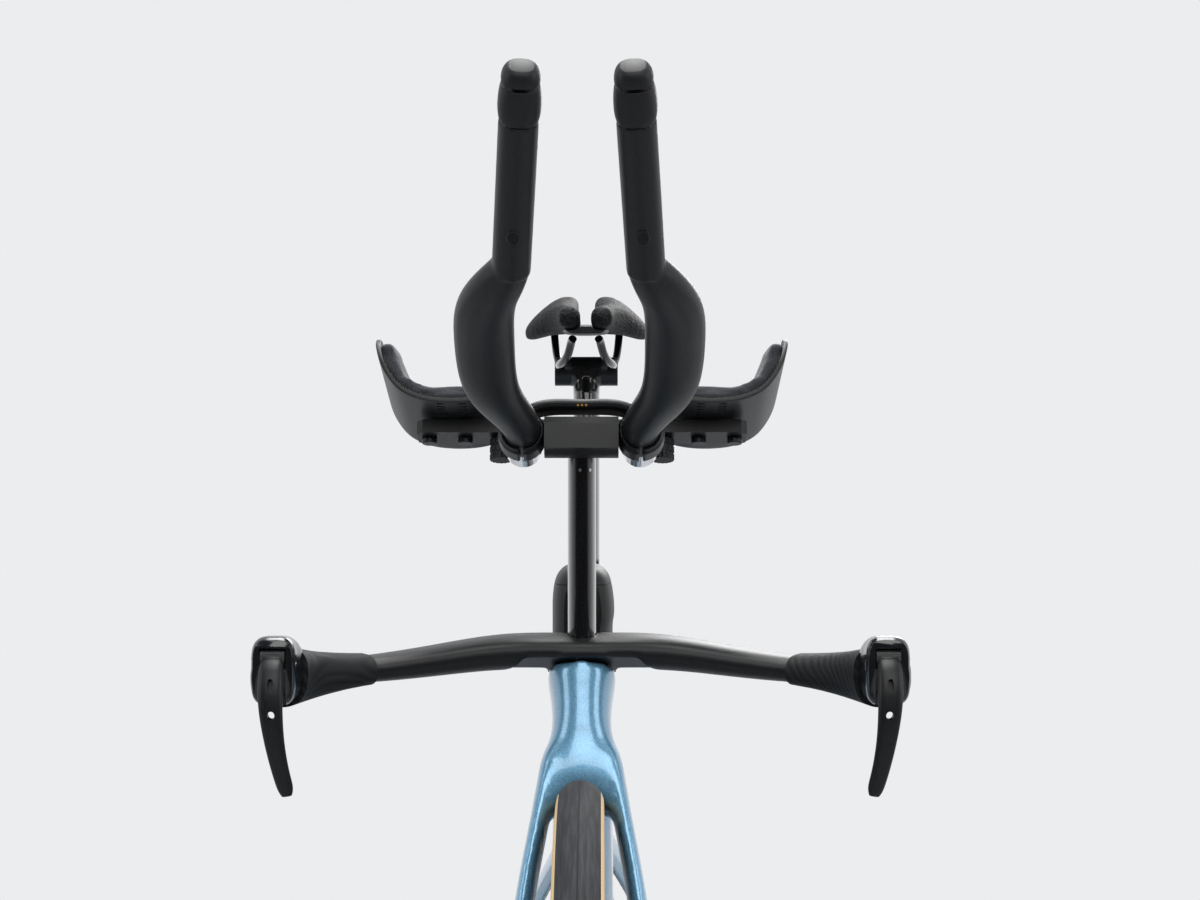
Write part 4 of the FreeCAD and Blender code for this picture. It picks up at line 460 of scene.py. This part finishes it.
wheelLook = {"front": {"axle": (0.4935, 0, 0.34), "valve": (-0.5, 0, -0.866)},
             "rear": {"axle": (-0.4935, 0, 0.34), "valve": (0.5, 0, -0.866)}}
wheelEdges = {"hub": 0.0005, "axle": 0.0004, "caliper": 0.0006}
tyreLook = {"tube": 0.0145, "centre": 0.3255, "sides": 48, "steps": 144, "treadAngle": 62, "casingAngle": 104}
rotorLook = {"track": 0.0655}
valveLook = {"foot": 0.262, "length": 0.034, "radius": 0.003, "nutRadius": 0.0045, "nutHeight": 0.003,
             "nutPlace": 0.004, "capRadius": 0.00345, "capHeight": 0.012, "tipRadius": 0.0024}


def makeTyre(wheel, axle):  # a spun tube, tread outside and casing on its flanks
    bm = bmesh.new()
    middle = Vector(axle) + Vector((tyreLook["centre"], 0, 0))
    bmesh.ops.create_circle(bm, segments=tyreLook["sides"], radius=tyreLook["tube"],
                            matrix=Matrix.Translation(middle))
    bmesh.ops.spin(bm, geom=bm.verts[:] + bm.edges[:], cent=axle, axis=(0, 1, 0), angle=math.tau,
                   steps=tyreLook["steps"], use_merge=True)
    bmesh.ops.remove_doubles(bm, verts=bm.verts, dist=0.00001)
    bmesh.ops.recalc_face_normals(bm, faces=bm.faces)
    for face in bm.faces:
        spot = face.calc_center_median() - Vector(axle)
        turn = math.degrees(math.atan2(abs(spot.y), math.hypot(spot.x, spot.z) - tyreLook["centre"]))
        face.material_index = 1 if tyreLook["treadAngle"] < turn < tyreLook["casingAngle"] else 0
    finishPiece(bm, wheel + "_tyre_skin", wheel + "_wheel", [tread, casing],
                [wheel + "_tyre"], sharp=60)


def makeRotor(wheel, axle):  # ground steel track on a black carrier
    bm = cadCopy(wheel + "_rotor")
    for face in bm.faces:
        spot = face.calc_center_median() - Vector(axle)
        face.material_index = 0 if math.hypot(spot.x, spot.z) > rotorLook["track"] else 1
    finishPiece(bm, wheel + "_rotor_skin", wheel + "_wheel", [steel, alloy], [wheel + "_rotor"])


def makeValve(wheel, axle, out):  # a threaded stem with its locking nut and cap
    bm = bmesh.new()
    foot = Vector(axle) + out * valveLook["foot"]
    addRound(bm, valveLook["radius"], valveLook["length"], foot - out * valveLook["length"] / 2, out)
    addRound(bm, valveLook["nutRadius"], valveLook["nutHeight"], foot - out * valveLook["nutPlace"], out, 6)
    addRound(bm, valveLook["capRadius"], valveLook["capHeight"], foot - out * valveLook["length"], out, 12,
             valveLook["tipRadius"])
    finishPiece(bm, wheel + "_valve", wheel + "_wheel", [alloy])


for wheel, look in wheelLook.items():
    makeTyre(wheel, look["axle"])
    makeRotor(wheel, look["axle"])
    makeValve(wheel, look["axle"], Vector(look["valve"]))
    dressedNode(wheel + "_rim", gloss, roundAngle)
    dressedNode(wheel + "_spokes", alloy)
    for part, edge in wheelEdges.items():
        dressedNode(wheel + "_" + part, alloy, bevel=edge)
print("wheels done")


# Chain and drive

chainLook = {"line": -0.046, "pitch": 0.0127, "pointGap": 0.001, "plate": 0.0042, "plateThick": 0.0009,
             "innerOut": 0.0017, "outerOut": 0.0021, "webThick": 0.000864, "webWidth": 0.00567,
             "pinRadius": 0.0018, "pinLength": 0.0052}
driveEdge = 0.0004
# centre in X and Z, radius, way round
chainStops = (((-0.0915, 0.26), 0.10517, -1), ((-0.4375, 0.2), 0.02453, -1),
              ((-0.4775, 0.268), 0.02453, 1), ((-0.4935, 0.34), 0.02854, -1))


def tangentPoints(first, second):  # where a straight run leaves one wheel and meets the next
    (startX, startZ), startRadius, startWay = first
    (endX, endZ), endRadius, endWay = second
    gap = math.hypot(endX - startX, endZ - startZ)
    heading = math.atan2(endZ - startZ, endX - startX)
    lean = math.asin((startRadius * startWay - endRadius * endWay) / gap)
    side = heading + lean - math.pi / 2
    return [(x + math.cos(side) * radius * way, z + math.sin(side) * radius * way)
            for (x, z), radius, way in (first, second)]


def chainRoute():  # close points along the whole loop
    runs = [tangentPoints(*pair) for pair in zip(chainStops, chainStops[1:] + chainStops[:1])]
    points = []
    for index, ((centreX, centreZ), radius, way) in enumerate(chainStops):
        arrive, leave = runs[index - 1][1], runs[index][0]
        first = math.atan2(arrive[1] - centreZ, arrive[0] - centreX)
        last = math.atan2(leave[1] - centreZ, leave[0] - centreX)
        sweep = (last - first) % math.tau if way > 0 else -((first - last) % math.tau)
        count = max(2, int(abs(sweep) * radius / chainLook["pointGap"]))
        for step in range(count):
            angle = first + sweep * step / count
            points.append(Vector((centreX + radius * math.cos(angle), chainLook["line"],
                                  centreZ + radius * math.sin(angle))))
        start, end = (Vector((spot[0], chainLook["line"], spot[1])) for spot in runs[index])
        count = int((end - start).length / chainLook["pointGap"])
        points += [start.lerp(end, step / count) for step in range(count)]
    return points


def pinPlaces():  # one pin each pitch along the loop, the number kept even
    points = chainRoute()
    steps = [(points[(index + 1) % len(points)] - point).length for index, point in enumerate(points)]
    total = sum(steps)
    count = round(total / chainLook["pitch"] / 2) * 2
    places, travelled, wanted = [], 0.0, 0.0
    for point, step in zip(points, steps):
        if travelled >= wanted and len(places) < count:
            places.append(point)
            wanted += total / count
        travelled += step
    return places


def addPlate(bm, start, end, out):  # a rounded link plate
    middle, heading = (start + end) / 2 + Vector((0, out, 0)), (end - start).normalized()
    turn = Matrix((heading, (0, 1, 0), heading.cross(Vector((0, 1, 0))))).transposed().to_4x4()
    for spot in (start, end):
        addRound(bm, chainLook["plate"], chainLook["plateThick"], spot + Vector((0, out, 0)), (0, 1, 0), 10)
    addBlock(bm, ((end - start).length, chainLook["webThick"], chainLook["webWidth"]), middle, turn)


def makeChain():
    bm = bmesh.new()
    pins = pinPlaces()
    for index, start in enumerate(pins):
        end = pins[(index + 1) % len(pins)]
        out = chainLook["outerOut"] if index % 2 else chainLook["innerOut"]
        for side in (-1, 1):
            addPlate(bm, start, end, side * out)
        addRound(bm, chainLook["pinRadius"], chainLook["pinLength"], start, (0, 1, 0), 8)
    finishPiece(bm, "chain_links", "frame", [nickel], ["chain"])
    print("chain of", len(pins), "links")


makeChain()
for node, material in {"chainring": alloy, "changer_arm": alloy, "changer_cage": alloy, "guide_pulley": nylon,
                       "tension_pulley": nylon, "pedal_axles": steel, "bottom_bracket": alloy,
                       "headset_bearings": steel, "seat_wedge": alloy}.items():
    dressedNode(node, material, bevel=driveEdge)
for node, material in {"cassette": nickel, "crank_left": gloss, "crank_right": gloss, "pedal_left": nylon,
                       "pedal_right": nylon}.items():
    dressedNode(node, material, roundAngle)
print("drive done")


# Arm rests

cockpit = {"x": 0.3475, "z": 0.886, "tilt": 17, "cosine": 0.9563, "sine": 0.2924}
cupLook = {"profile": ((-0.5, 0.55), (-0.46, 0.3), (-0.36, 0.12), (-0.2, 0.035), (0, 0.02), (0.18, 0.07),
                       (0.33, 0.21), (0.44, 0.48), (0.492, 0.78), (0.5, 1.0)),
           "middle": 0.09, "width": 0.093, "foot": 0.02225, "rise": 0.053, "rear": -0.102, "front": 0.002,
           "thickness": 0.003, "edge": 0.0007, "tipCorner": 0.03, "footCorner": 0.016, "steps": 240,
           "rows": 28, "columns": 56, "slopeReach": 3}
tapeLook = {"inward": 0.0031, "thickness": 0.0022, "edge": 0.0004, "margin": 0.004}
padLook = {"voxel": 0.0032, "shrink": 0.0012, "cap": 0.0024, "pressure": 4.0, "fill": 0.7}
# places and sizes of the dark blocks painted as the shade inside the cups' slots
slotShadeLook = {"rows": 5, "columns": (0.078, 0.092), "first": -0.026, "step": 0.006,
            "lengths": (0.0014, 0.0052, 0.0006)}


def atCockpit(x, y, z):  # from the tilted cockpit's own axes, in metres
    cosine, sine = cockpit["cosine"], cockpit["sine"]
    return Vector((cockpit["x"] + cosine * x - sine * z, y, cockpit["z"] + sine * x + cosine * z))


def smoothPath(points, count, fineness=20):  # even points on a smooth curve through the given ones
    ends = [points[0] * 2 - points[1], *points, points[-1] * 2 - points[-2]]
    dense = []
    for before, start, end, after in zip(ends, ends[1:], ends[2:], ends[3:]):
        for step in range(fineness):
            share = step / fineness
            dense.append(start + (end - before) * share / 2
                         + (before * 2 - start * 5 + end * 4 - after) * share ** 2 / 2
                         + (start * 3 - before - end * 3 + after) * share ** 3 / 2)
    dense.append(points[-1])
    lengths = [0.0]
    for start, end in zip(dense, dense[1:]):
        lengths.append(lengths[-1] + (end - start).length)
    path, index = [], 0
    for step in range(count):
        wanted = lengths[-1] * step / (count - 1)
        while index < len(dense) - 2 and lengths[index + 1] < wanted:
            index += 1
        share = (wanted - lengths[index]) / (lengths[index + 1] - lengths[index])
        path.append(dense[index].lerp(dense[index + 1], min(share, 1.0)))
    return path, lengths[-1]


def cupPath():  # across the cup, from its inner edge to its outer tip
    points = [Vector((cupLook["middle"] + cupLook["width"] * out, cupLook["foot"] + cupLook["rise"] * up))
              for out, up in cupLook["profile"]]
    return smoothPath(points, cupLook["steps"] + 1)


def cupSheet(inward, margin):  # a grid bent to the cup, its corners rounded
    path, span = cupPath()
    steps, reach = cupLook["steps"], cupLook["slopeReach"]
    bm = bmesh.new()
    bmesh.ops.create_grid(bm, x_segments=cupLook["rows"], y_segments=cupLook["columns"], size=0.5)
    for vert in bm.verts:
        along, across = vert.co.x + 0.5, vert.co.y + 0.5
        across = (margin + across * (span - margin * 2)) / span
        corner = cupLook["tipCorner"] if across > 0.5 else cupLook["footCorner"]
        edge = max(0.0, corner - min(across, 1 - across) * span + margin)
        inset = margin + corner - math.sqrt(max(0.0, corner ** 2 - edge ** 2))
        x = cupLook["rear"] + inset + along * (cupLook["front"] - cupLook["rear"] - inset * 2)
        index = min(steps - 1, int(across * steps))
        spot = path[index].lerp(path[index + 1], across * steps - index)
        tangent = (path[min(steps, index + reach)] - path[max(0, index - reach)]).normalized()
        spot = spot + Vector((-tangent.y, tangent.x)) * inward
        vert.co = atCockpit(x, spot.x, spot.y)
    bmesh.ops.recalc_face_normals(bm, faces=bm.faces)
    centre = atCockpit((cupLook["rear"] + cupLook["front"]) / 2, cupLook["middle"], cupLook["foot"])
    middle = min(bm.faces, key=lambda face: (face.calc_center_median() - centre).length)
    if middle.normal.z < 0:
        bmesh.ops.reverse_faces(bm, faces=bm.faces)
    return bm


def thickened(bm, thickness, edge):  # a wall that grows towards the arm, its edge eased
    def thicken(draft):
        wall = draft.modifiers.new("wall", "SOLIDIFY")
        wall.thickness, wall.offset, wall.use_even_offset = thickness, 1.0, True
        addEase(draft, edge, 50)
    return bakedMesh(bm, thicken)


def mirrored(mesh):
    bm = bmFrom(mesh)
    bmesh.ops.scale(bm, vec=(1, -1, 1), verts=bm.verts)
    bmesh.ops.reverse_faces(bm, faces=bm.faces)
    return meshFrom(bm, "flipped")


puffFrames = 20  # how long the cloth runs


def puffed(bm, look):  # a pad blown up as cloth, held near its CAD shape
    bmesh.ops.recalc_face_normals(bm, faces=bm.faces)
    bm.normal_update()
    for vert in bm.verts:
        vert.co -= vert.normal * look["shrink"]
    start = bakedMesh(bm, lambda draft: addShell(draft, look["voxel"]))
    draft = addObject("draft", start.copy())
    cloth = draft.modifiers.new("puff", "CLOTH")
    cloth.settings.use_pressure = True
    cloth.settings.uniform_pressure_force = look["pressure"]
    cloth.settings.effector_weights.gravity = 0
    cloth.point_cache.frame_start, cloth.point_cache.frame_end = 1, puffFrames
    for moment in range(1, puffFrames + 1):
        scene.frame_set(moment)
    result = settled(draft)
    scene.frame_set(1)
    for vert, old in zip(result.vertices, start.vertices):
        move = vert.co - old.co
        vert.co = old.co + move * min(1.0, look["cap"] / max(move.length, 0.000001))
    return result


def softPiece(mesh, name, body, material, stands):
    piece = placePiece(mesh, name, body, [material], stands, sharp=80)
    rounder = piece.modifiers.new("rounder", "SUBSURF")
    rounder.levels = rounder.render_levels = 1


def makeArmRests():
    cup = thickened(cupSheet(0.0, 0.0), cupLook["thickness"], cupLook["edge"])
    layer = thickened(cupSheet(tapeLook["inward"], tapeLook["margin"]), tapeLook["thickness"],
                      tapeLook["edge"])
    pad = puffed(cadCopy("arm_pad_left"), padLook)
    for side, flip in (("left", False), ("right", True)):
        shapes = [mirrored(mesh) if flip else mesh.copy() for mesh in (cup, layer, pad)]
        placePiece(shapes[0], "arm_cup_" + side + "_shell", "steering", [satin],
                   ["arm_cup_" + side], roundAngle)
        placePiece(shapes[1], "arm_tape_" + side, "steering", [tape], (), roundAngle)
        softPiece(shapes[2], "arm_pad_" + side + "_cushion", "steering", knit, ["arm_pad_" + side])
    # dark blocks under the cups: painted shade standing in for the open slots in the cup floors
    bm = bmesh.new()
    tilt = Matrix.Rotation(math.radians(-cockpit["tilt"]), 4, "Y")
    path = cupPath()[0]
    for y in slotShadeLook["columns"]:
        floor = min(path, key=lambda spot: abs(spot.x - y))
        for row in range(slotShadeLook["rows"]):
            x = slotShadeLook["first"] + slotShadeLook["step"] * row
            for side in (-1, 1):
                addBlock(bm, slotShadeLook["lengths"], atCockpit(x, floor.x * side, floor.y), tilt)
    finishPiece(bm, "arm_cup_slots", "steering", [hole])


makeArmRests()
print("arm rests done")


# Saddle

saddleLook = {"voxel": 0.0042, "shrink": 0.0015, "cap": 0.003, "pressure": 4.0, "fill": 0.8, "droop": 0.008,
              "wingStart": -0.14, "wingRun": 0.07, "flat": 0.022, "span": 0.042, "clampEdge": 0.0006}


def drooped(mesh):  # the wings hang at their outer edges
    for vert in mesh.vertices:
        back = min(1.0, max(0.0, (saddleLook["wingStart"] - vert.co.x) / saddleLook["wingRun"]))
        out = min(1.0, max(0.0, (abs(vert.co.y) - saddleLook["flat"]) / saddleLook["span"]))
        vert.co.z -= saddleLook["droop"] * back * out ** 2 * (3 - 2 * out)
    return mesh


softPiece(drooped(puffed(cadCopy("saddle_pads"), saddleLook)), "saddle_pad_cushions", "seat", skin,
          ["saddle_pads"])
dressedNode("saddle_base", satin, roundAngle)
dressedNode("saddle_rails", gloss, roundAngle)
dressedNode("saddle_clamp", alloy, bevel=saddleLook["clampEdge"])
dressedNode("seatpost", gloss, roundAngle)
print("saddle done")


# Cockpit

barLook = {"barVoxel": 0.0019, "extensionVoxel": 0.0012, "bridgeVoxel": 0.0011, "rounds": 6,
           "bridgeRounds": 4, "sleeveEnd": -0.0052, "capEdge": 0.0008, "plateEdge": 0.0006}


def sleevePart(spot):  # the polished tail of an extension, behind its clamp
    x = cockpit["cosine"] * (spot.x - cockpit["x"]) + cockpit["sine"] * (spot.z - cockpit["z"])
    return 1 if x < barLook["sleeveEnd"] else 0


blendedNode("base_bar", [satin], barLook["barVoxel"], barLook["rounds"])
for side in ("left", "right"):
    blendedNode("extension_" + side, [satin, mirrorAlloy], barLook["extensionVoxel"], barLook["rounds"],
                sleevePart)
    dressedNode("grip_" + side, rubber, roundAngle)
    dressedNode("lever_housing_" + side, shine, roundAngle)
    dressedNode("shifter_" + side, nylon, roundAngle, barLook["capEdge"])
    dressedNode("shift_button_" + side, nylon, roundAngle, barLook["capEdge"])
blendedNode("extension_bridge", [satin], barLook["bridgeVoxel"], barLook["bridgeRounds"])
dressedNode("riser_mast", gloss, roundAngle)
for node, material in {"riser_head": satin, "arm_brackets": satin, "cockpit_bolts": alloy, "fuel_box": nylon,
                       "fuel_box_lid": nylon}.items():
    dressedNode(node, material, bevel=barLook["plateEdge"])
print("cockpit done")


# Small pieces

portLook = {"pixel": (643, 238), "radius": 0.0034, "stretch": 1.35, "lip": 0.0006, "depth": 0.0006}
leverLook = {"slot": (891, 686), "hole": (890, 716), "slotLengths": (0.0017, 0.0044), "holeRadius": 0.0023,
             "slotDepth": 0.007, "holeDepth": 0.06, "roundness": 1.15}
knobLook = {"x": -0.045, "y": 0.054, "top": 0.01325, "radius": 0.0076, "flutes": 16, "fluteShare": 0.1,
            "tiers": 3, "tierHeight": 0.0042, "firstTier": 0.003, "tierStep": 0.0052}
dotLook = {"pixels": ((578, 405), (582, 405), (586, 405)), "radius": 0.0008, "depth": 0.0004}
screwLook = {"pixels": ((580, 470), (590, 470)), "radius": 0.0012, "depth": 0.0005}
bossLook = {"places": ((-0.0894, 0, 0.445), (-0.0995, 0, 0.508)), "axis": (0.9877, 0, 0.1564),
            "ringRadius": 0.004464, "ringThick": 0.00186, "holeRadius": 0.0031, "holeDepth": 0.0008}
ovalTaper = 0.94


def sightLine(piece, pixel):  # where the line of sight through a pixel of the photo meets a piece
    tree = BVHTree.FromObject(piece, bpy.context.evaluated_depsgraph_get())
    (middleU, middleV), focal = shot["middle"], shot["focal"]
    aim = Vector((-1, (pixel[0] - middleU) / focal, (middleV - pixel[1]) / focal)).normalized()
    spot, normal, _, _ = tree.ray_cast(Vector(shot["place"]), aim)
    return spot, normal


def facing(spot, normal, stretch):  # stands a flat shape on a face, its long side upright
    side = Vector((0, 0, 1)).cross(normal).normalized()
    turn = Matrix((side, normal.cross(side), normal)).transposed().to_4x4()
    return Matrix.Translation(spot) @ turn @ Matrix.Diagonal((1, stretch, 1, 1))


def addOval(bm, spot, normal, radius, stretch, depth):  # an oval stud, half of it sunk in the face
    bmesh.ops.create_cone(bm, cap_ends=True, segments=28, radius1=radius, radius2=radius * ovalTaper,
                          depth=depth, matrix=facing(spot, normal, stretch))


def addRing(bm, spot, normal, radius, stretch, thick):  # a thin raised lip
    ring = bmesh.new()
    upright = Matrix.Translation((radius, 0, 0)) @ Matrix.Rotation(math.radians(90), 4, "X")
    bmesh.ops.create_circle(ring, segments=10, radius=thick, matrix=upright)
    bmesh.ops.spin(ring, geom=ring.verts[:] + ring.edges[:], cent=(0, 0, 0), axis=(0, 0, 1), angle=math.tau,
                   steps=36, use_merge=True)
    bmesh.ops.remove_doubles(ring, verts=ring.verts, dist=0.000001)
    bmesh.ops.recalc_face_normals(ring, faces=ring.faces)
    bmesh.ops.transform(ring, verts=ring.verts, matrix=facing(spot, normal, stretch))
    bm.from_mesh(meshFrom(ring, "ring"))


def bothSides(bm, name, material):  # the piece on the rider's left, and its mirror image
    mesh = meshFrom(bm, name)
    placePiece(mesh.copy(), name + "_left", "steering", [material])
    placePiece(mirrored(mesh), name + "_right", "steering", [material])


def makePorts():  # the cable ports in the extensions: a raised lip round a dark oval stud, painted shade for the inside of each port
    spot, normal = sightLine(bpy.data.objects["extension_left_skin"], portLook["pixel"])
    bm = bmesh.new()
    # a dark oval stud, half sunk: painted shade inside the port
    addOval(bm, spot, normal, portLook["radius"], portLook["stretch"], portLook["depth"])
    bothSides(bm, "port_hole", hole)
    bm = bmesh.new()
    addRing(bm, spot, normal, portLook["radius"], portLook["stretch"], portLook["lip"])
    bothSides(bm, "port_lip", satin)


def drilled(bm, bits):  # cuts one closed mesh out of another
    tool = addObject("drill", bits)

    def drill(draft):
        cut = draft.modifiers.new("drill", "BOOLEAN")
        cut.operation, cut.solver, cut.object = "DIFFERENCE", "EXACT", tool
    mesh = bakedMesh(bm, drill)
    bpy.data.objects.remove(tool)
    return mesh


def makeLevers():  # each lever, with its screw slot sunk and its hole drilled through
    left = nodes["brake_lever_left"]
    width, height = leverLook["slotLengths"]
    bm = bmesh.new()
    addOval(bm, *sightLine(left, leverLook["slot"]), width, height / width, leverLook["slotDepth"])
    addOval(bm, *sightLine(left, leverLook["hole"]), leverLook["holeRadius"], leverLook["roundness"],
            leverLook["holeDepth"])
    mesh = meshFrom(bm, "drill")
    for node, bits in {"brake_lever_left": mesh, "brake_lever_right": mirrored(mesh)}.items():
        blade = drilled(cadCopy(node), bits)
        placePiece(blade, node + "_skin", bodyOf[node], [satin], [node], roundAngle)


def makeKnobs():  # fluted adjusters under the brackets
    bm = bmesh.new()
    drop, ahead = atCockpit(0, 0, 0) - atCockpit(0, 0, 1), atCockpit(1, 0, 0) - atCockpit(0, 0, 0)
    foot = atCockpit(knobLook["x"], knobLook["y"], knobLook["top"])
    sides = knobLook["flutes"] * 2
    for tier in range(knobLook["tiers"]):  # stacked flutes with grooves between
        middle = foot + drop * (knobLook["firstTier"] + tier * knobLook["tierStep"])
        for vert in addRound(bm, knobLook["radius"], knobLook["tierHeight"], middle, drop, sides):
            out = (vert.co - middle) - drop * (vert.co - middle).dot(drop)
            turn = round(math.atan2(out.y, out.dot(ahead)) / math.tau * sides)
            vert.co -= out * (knobLook["fluteShare"] if turn % 2 else 0.0)
    bothSides(bm, "adjuster_knob", nylon)


def makeStuds():  # brass contacts on the bridge, screws in the mast, and rings round the bottle bosses, with dark discs of painted shade in the bosses' holes
    for name, look, piece, material in (("bridge_contacts", dotLook, "extension_bridge_skin", brass),
                                        ("mast_screws", screwLook, "riser_mast_skin", steel)):
        bm = bmesh.new()
        for pixel in look["pixels"]:
            addOval(bm, *sightLine(bpy.data.objects[piece], pixel), look["radius"], 1, look["depth"])
        finishPiece(bm, name, "steering", [material])
    rings, holes, axis = bmesh.new(), bmesh.new(), Vector(bossLook["axis"])
    for place in bossLook["places"]:
        addRing(rings, Vector(place), axis, bossLook["ringRadius"], 1, bossLook["ringThick"])
        # dark disc in each boss: painted shade inside its hole
        addOval(holes, Vector(place), axis, bossLook["holeRadius"], 1, bossLook["holeDepth"])
    finishPiece(rings, "boss_rings", "frame", [alloy])
    finishPiece(holes, "boss_holes", "frame", [hole])


makePorts()
makeLevers()
makeKnobs()
makeStuds()
print("small pieces done")


# Stage

studio = {"floor": "#A2A4A7", "floorRough": 0.6, "floorHalf": 2.6, "floorDrop": 0.0004, "wall": "#ECEDEF",
          "room": "#3C3D40", "roomStart": 0.55, "light": "#F4F6FA", "lightStrength": 0.45}


def makeFloor():
    bm = bmesh.new()
    bmesh.ops.create_grid(bm, x_segments=1, y_segments=1, size=studio["floorHalf"],
                          matrix=Matrix.Translation((0, 0, -studio["floorDrop"])))
    mesh = meshFrom(bm, "floor")
    mesh.materials.append(newMaterial("floorPaint", studio["floor"], studio["floorRough"])[0])
    floor = addObject("floor", mesh)


def makeWorld():
    world = bpy.data.worlds.new("studio")
    scene.world = world
    world.use_nodes = True
    tree = world.node_tree
    tree.nodes.clear()
    path = addNode(tree, "ShaderNodeLightPath")
    seen = addNode(tree, "ShaderNodeMath", {"operation": "MAXIMUM"}, {
        0: path.outputs["Is Camera Ray"], 1: path.outputs["Is Transmission Ray"]})
    place = addNode(tree, "ShaderNodeTexCoord")
    axes = addNode(tree, "ShaderNodeSeparateXYZ", links={"Vector": place.outputs["Generated"]})
    # pale wall behind, dim room in front
    room = tones(tree, axes.outputs["X"], (0.0, studio["wall"]), (studio["roomStart"], studio["room"]))
    wall = addNode(tree, "ShaderNodeBackground", {"Color": linearColour(studio["wall"]), "Strength": 1.0})
    mirror = addNode(tree, "ShaderNodeBackground", {"Strength": 1.0}, {"Color": room})
    light = addNode(tree, "ShaderNodeBackground", {
        "Color": linearColour(studio["light"]), "Strength": studio["lightStrength"]})
    glossy = addNode(tree, "ShaderNodeMixShader", links={
        0: path.outputs["Is Glossy Ray"], 1: light.outputs[0], 2: mirror.outputs[0]})
    mix = addNode(tree, "ShaderNodeMixShader", links={
        0: seen.outputs["Value"], 1: glossy.outputs[0], 2: wall.outputs[0]})
    addNode(tree, "ShaderNodeOutputWorld", links={"Surface": mix.outputs[0]})


lamps = {
    "keyLamp": {"place": (2.6, 0.25, 2.5), "aim": (0.2, 0, 0.7), "size": (2.4, 1.6), "power": 42},
    "leftLamp": {"place": (1.2, 2.5, 1.6), "aim": (0.1, 0, 0.7), "size": (1.2, 1.6), "power": 18},
    "rightLamp": {"place": (1.2, -2.5, 1.6), "aim": (0.1, 0, 0.7), "size": (1.2, 1.6), "power": 15},
    "topLamp": {"place": (-0.2, 0, 3.0), "aim": (-0.2, 0, 0.5), "size": (3.0, 1.2), "power": 84},
    "backLamp": {"place": (-2.6, 0.8, 2.0), "aim": (0, 0, 0.7), "size": (1.2, 1.2), "power": 30},
}


def makeLamps():
    for name, look in lamps.items():
        lamp = bpy.data.lights.new(name, "AREA")
        lamp.shape, lamp.size, lamp.size_y = "RECTANGLE", *look["size"]
        lamp.energy = look["power"]
        made = addObject(name, lamp)
        made.location = look["place"]
        aim = Vector(look["aim"]) - Vector(look["place"])
        made.rotation_euler = aim.to_track_quat("-Z", "Y").to_euler()


makeFloor()
makeWorld()
makeLamps()
scene.view_settings.view_transform = "Standard"
print("stage set")
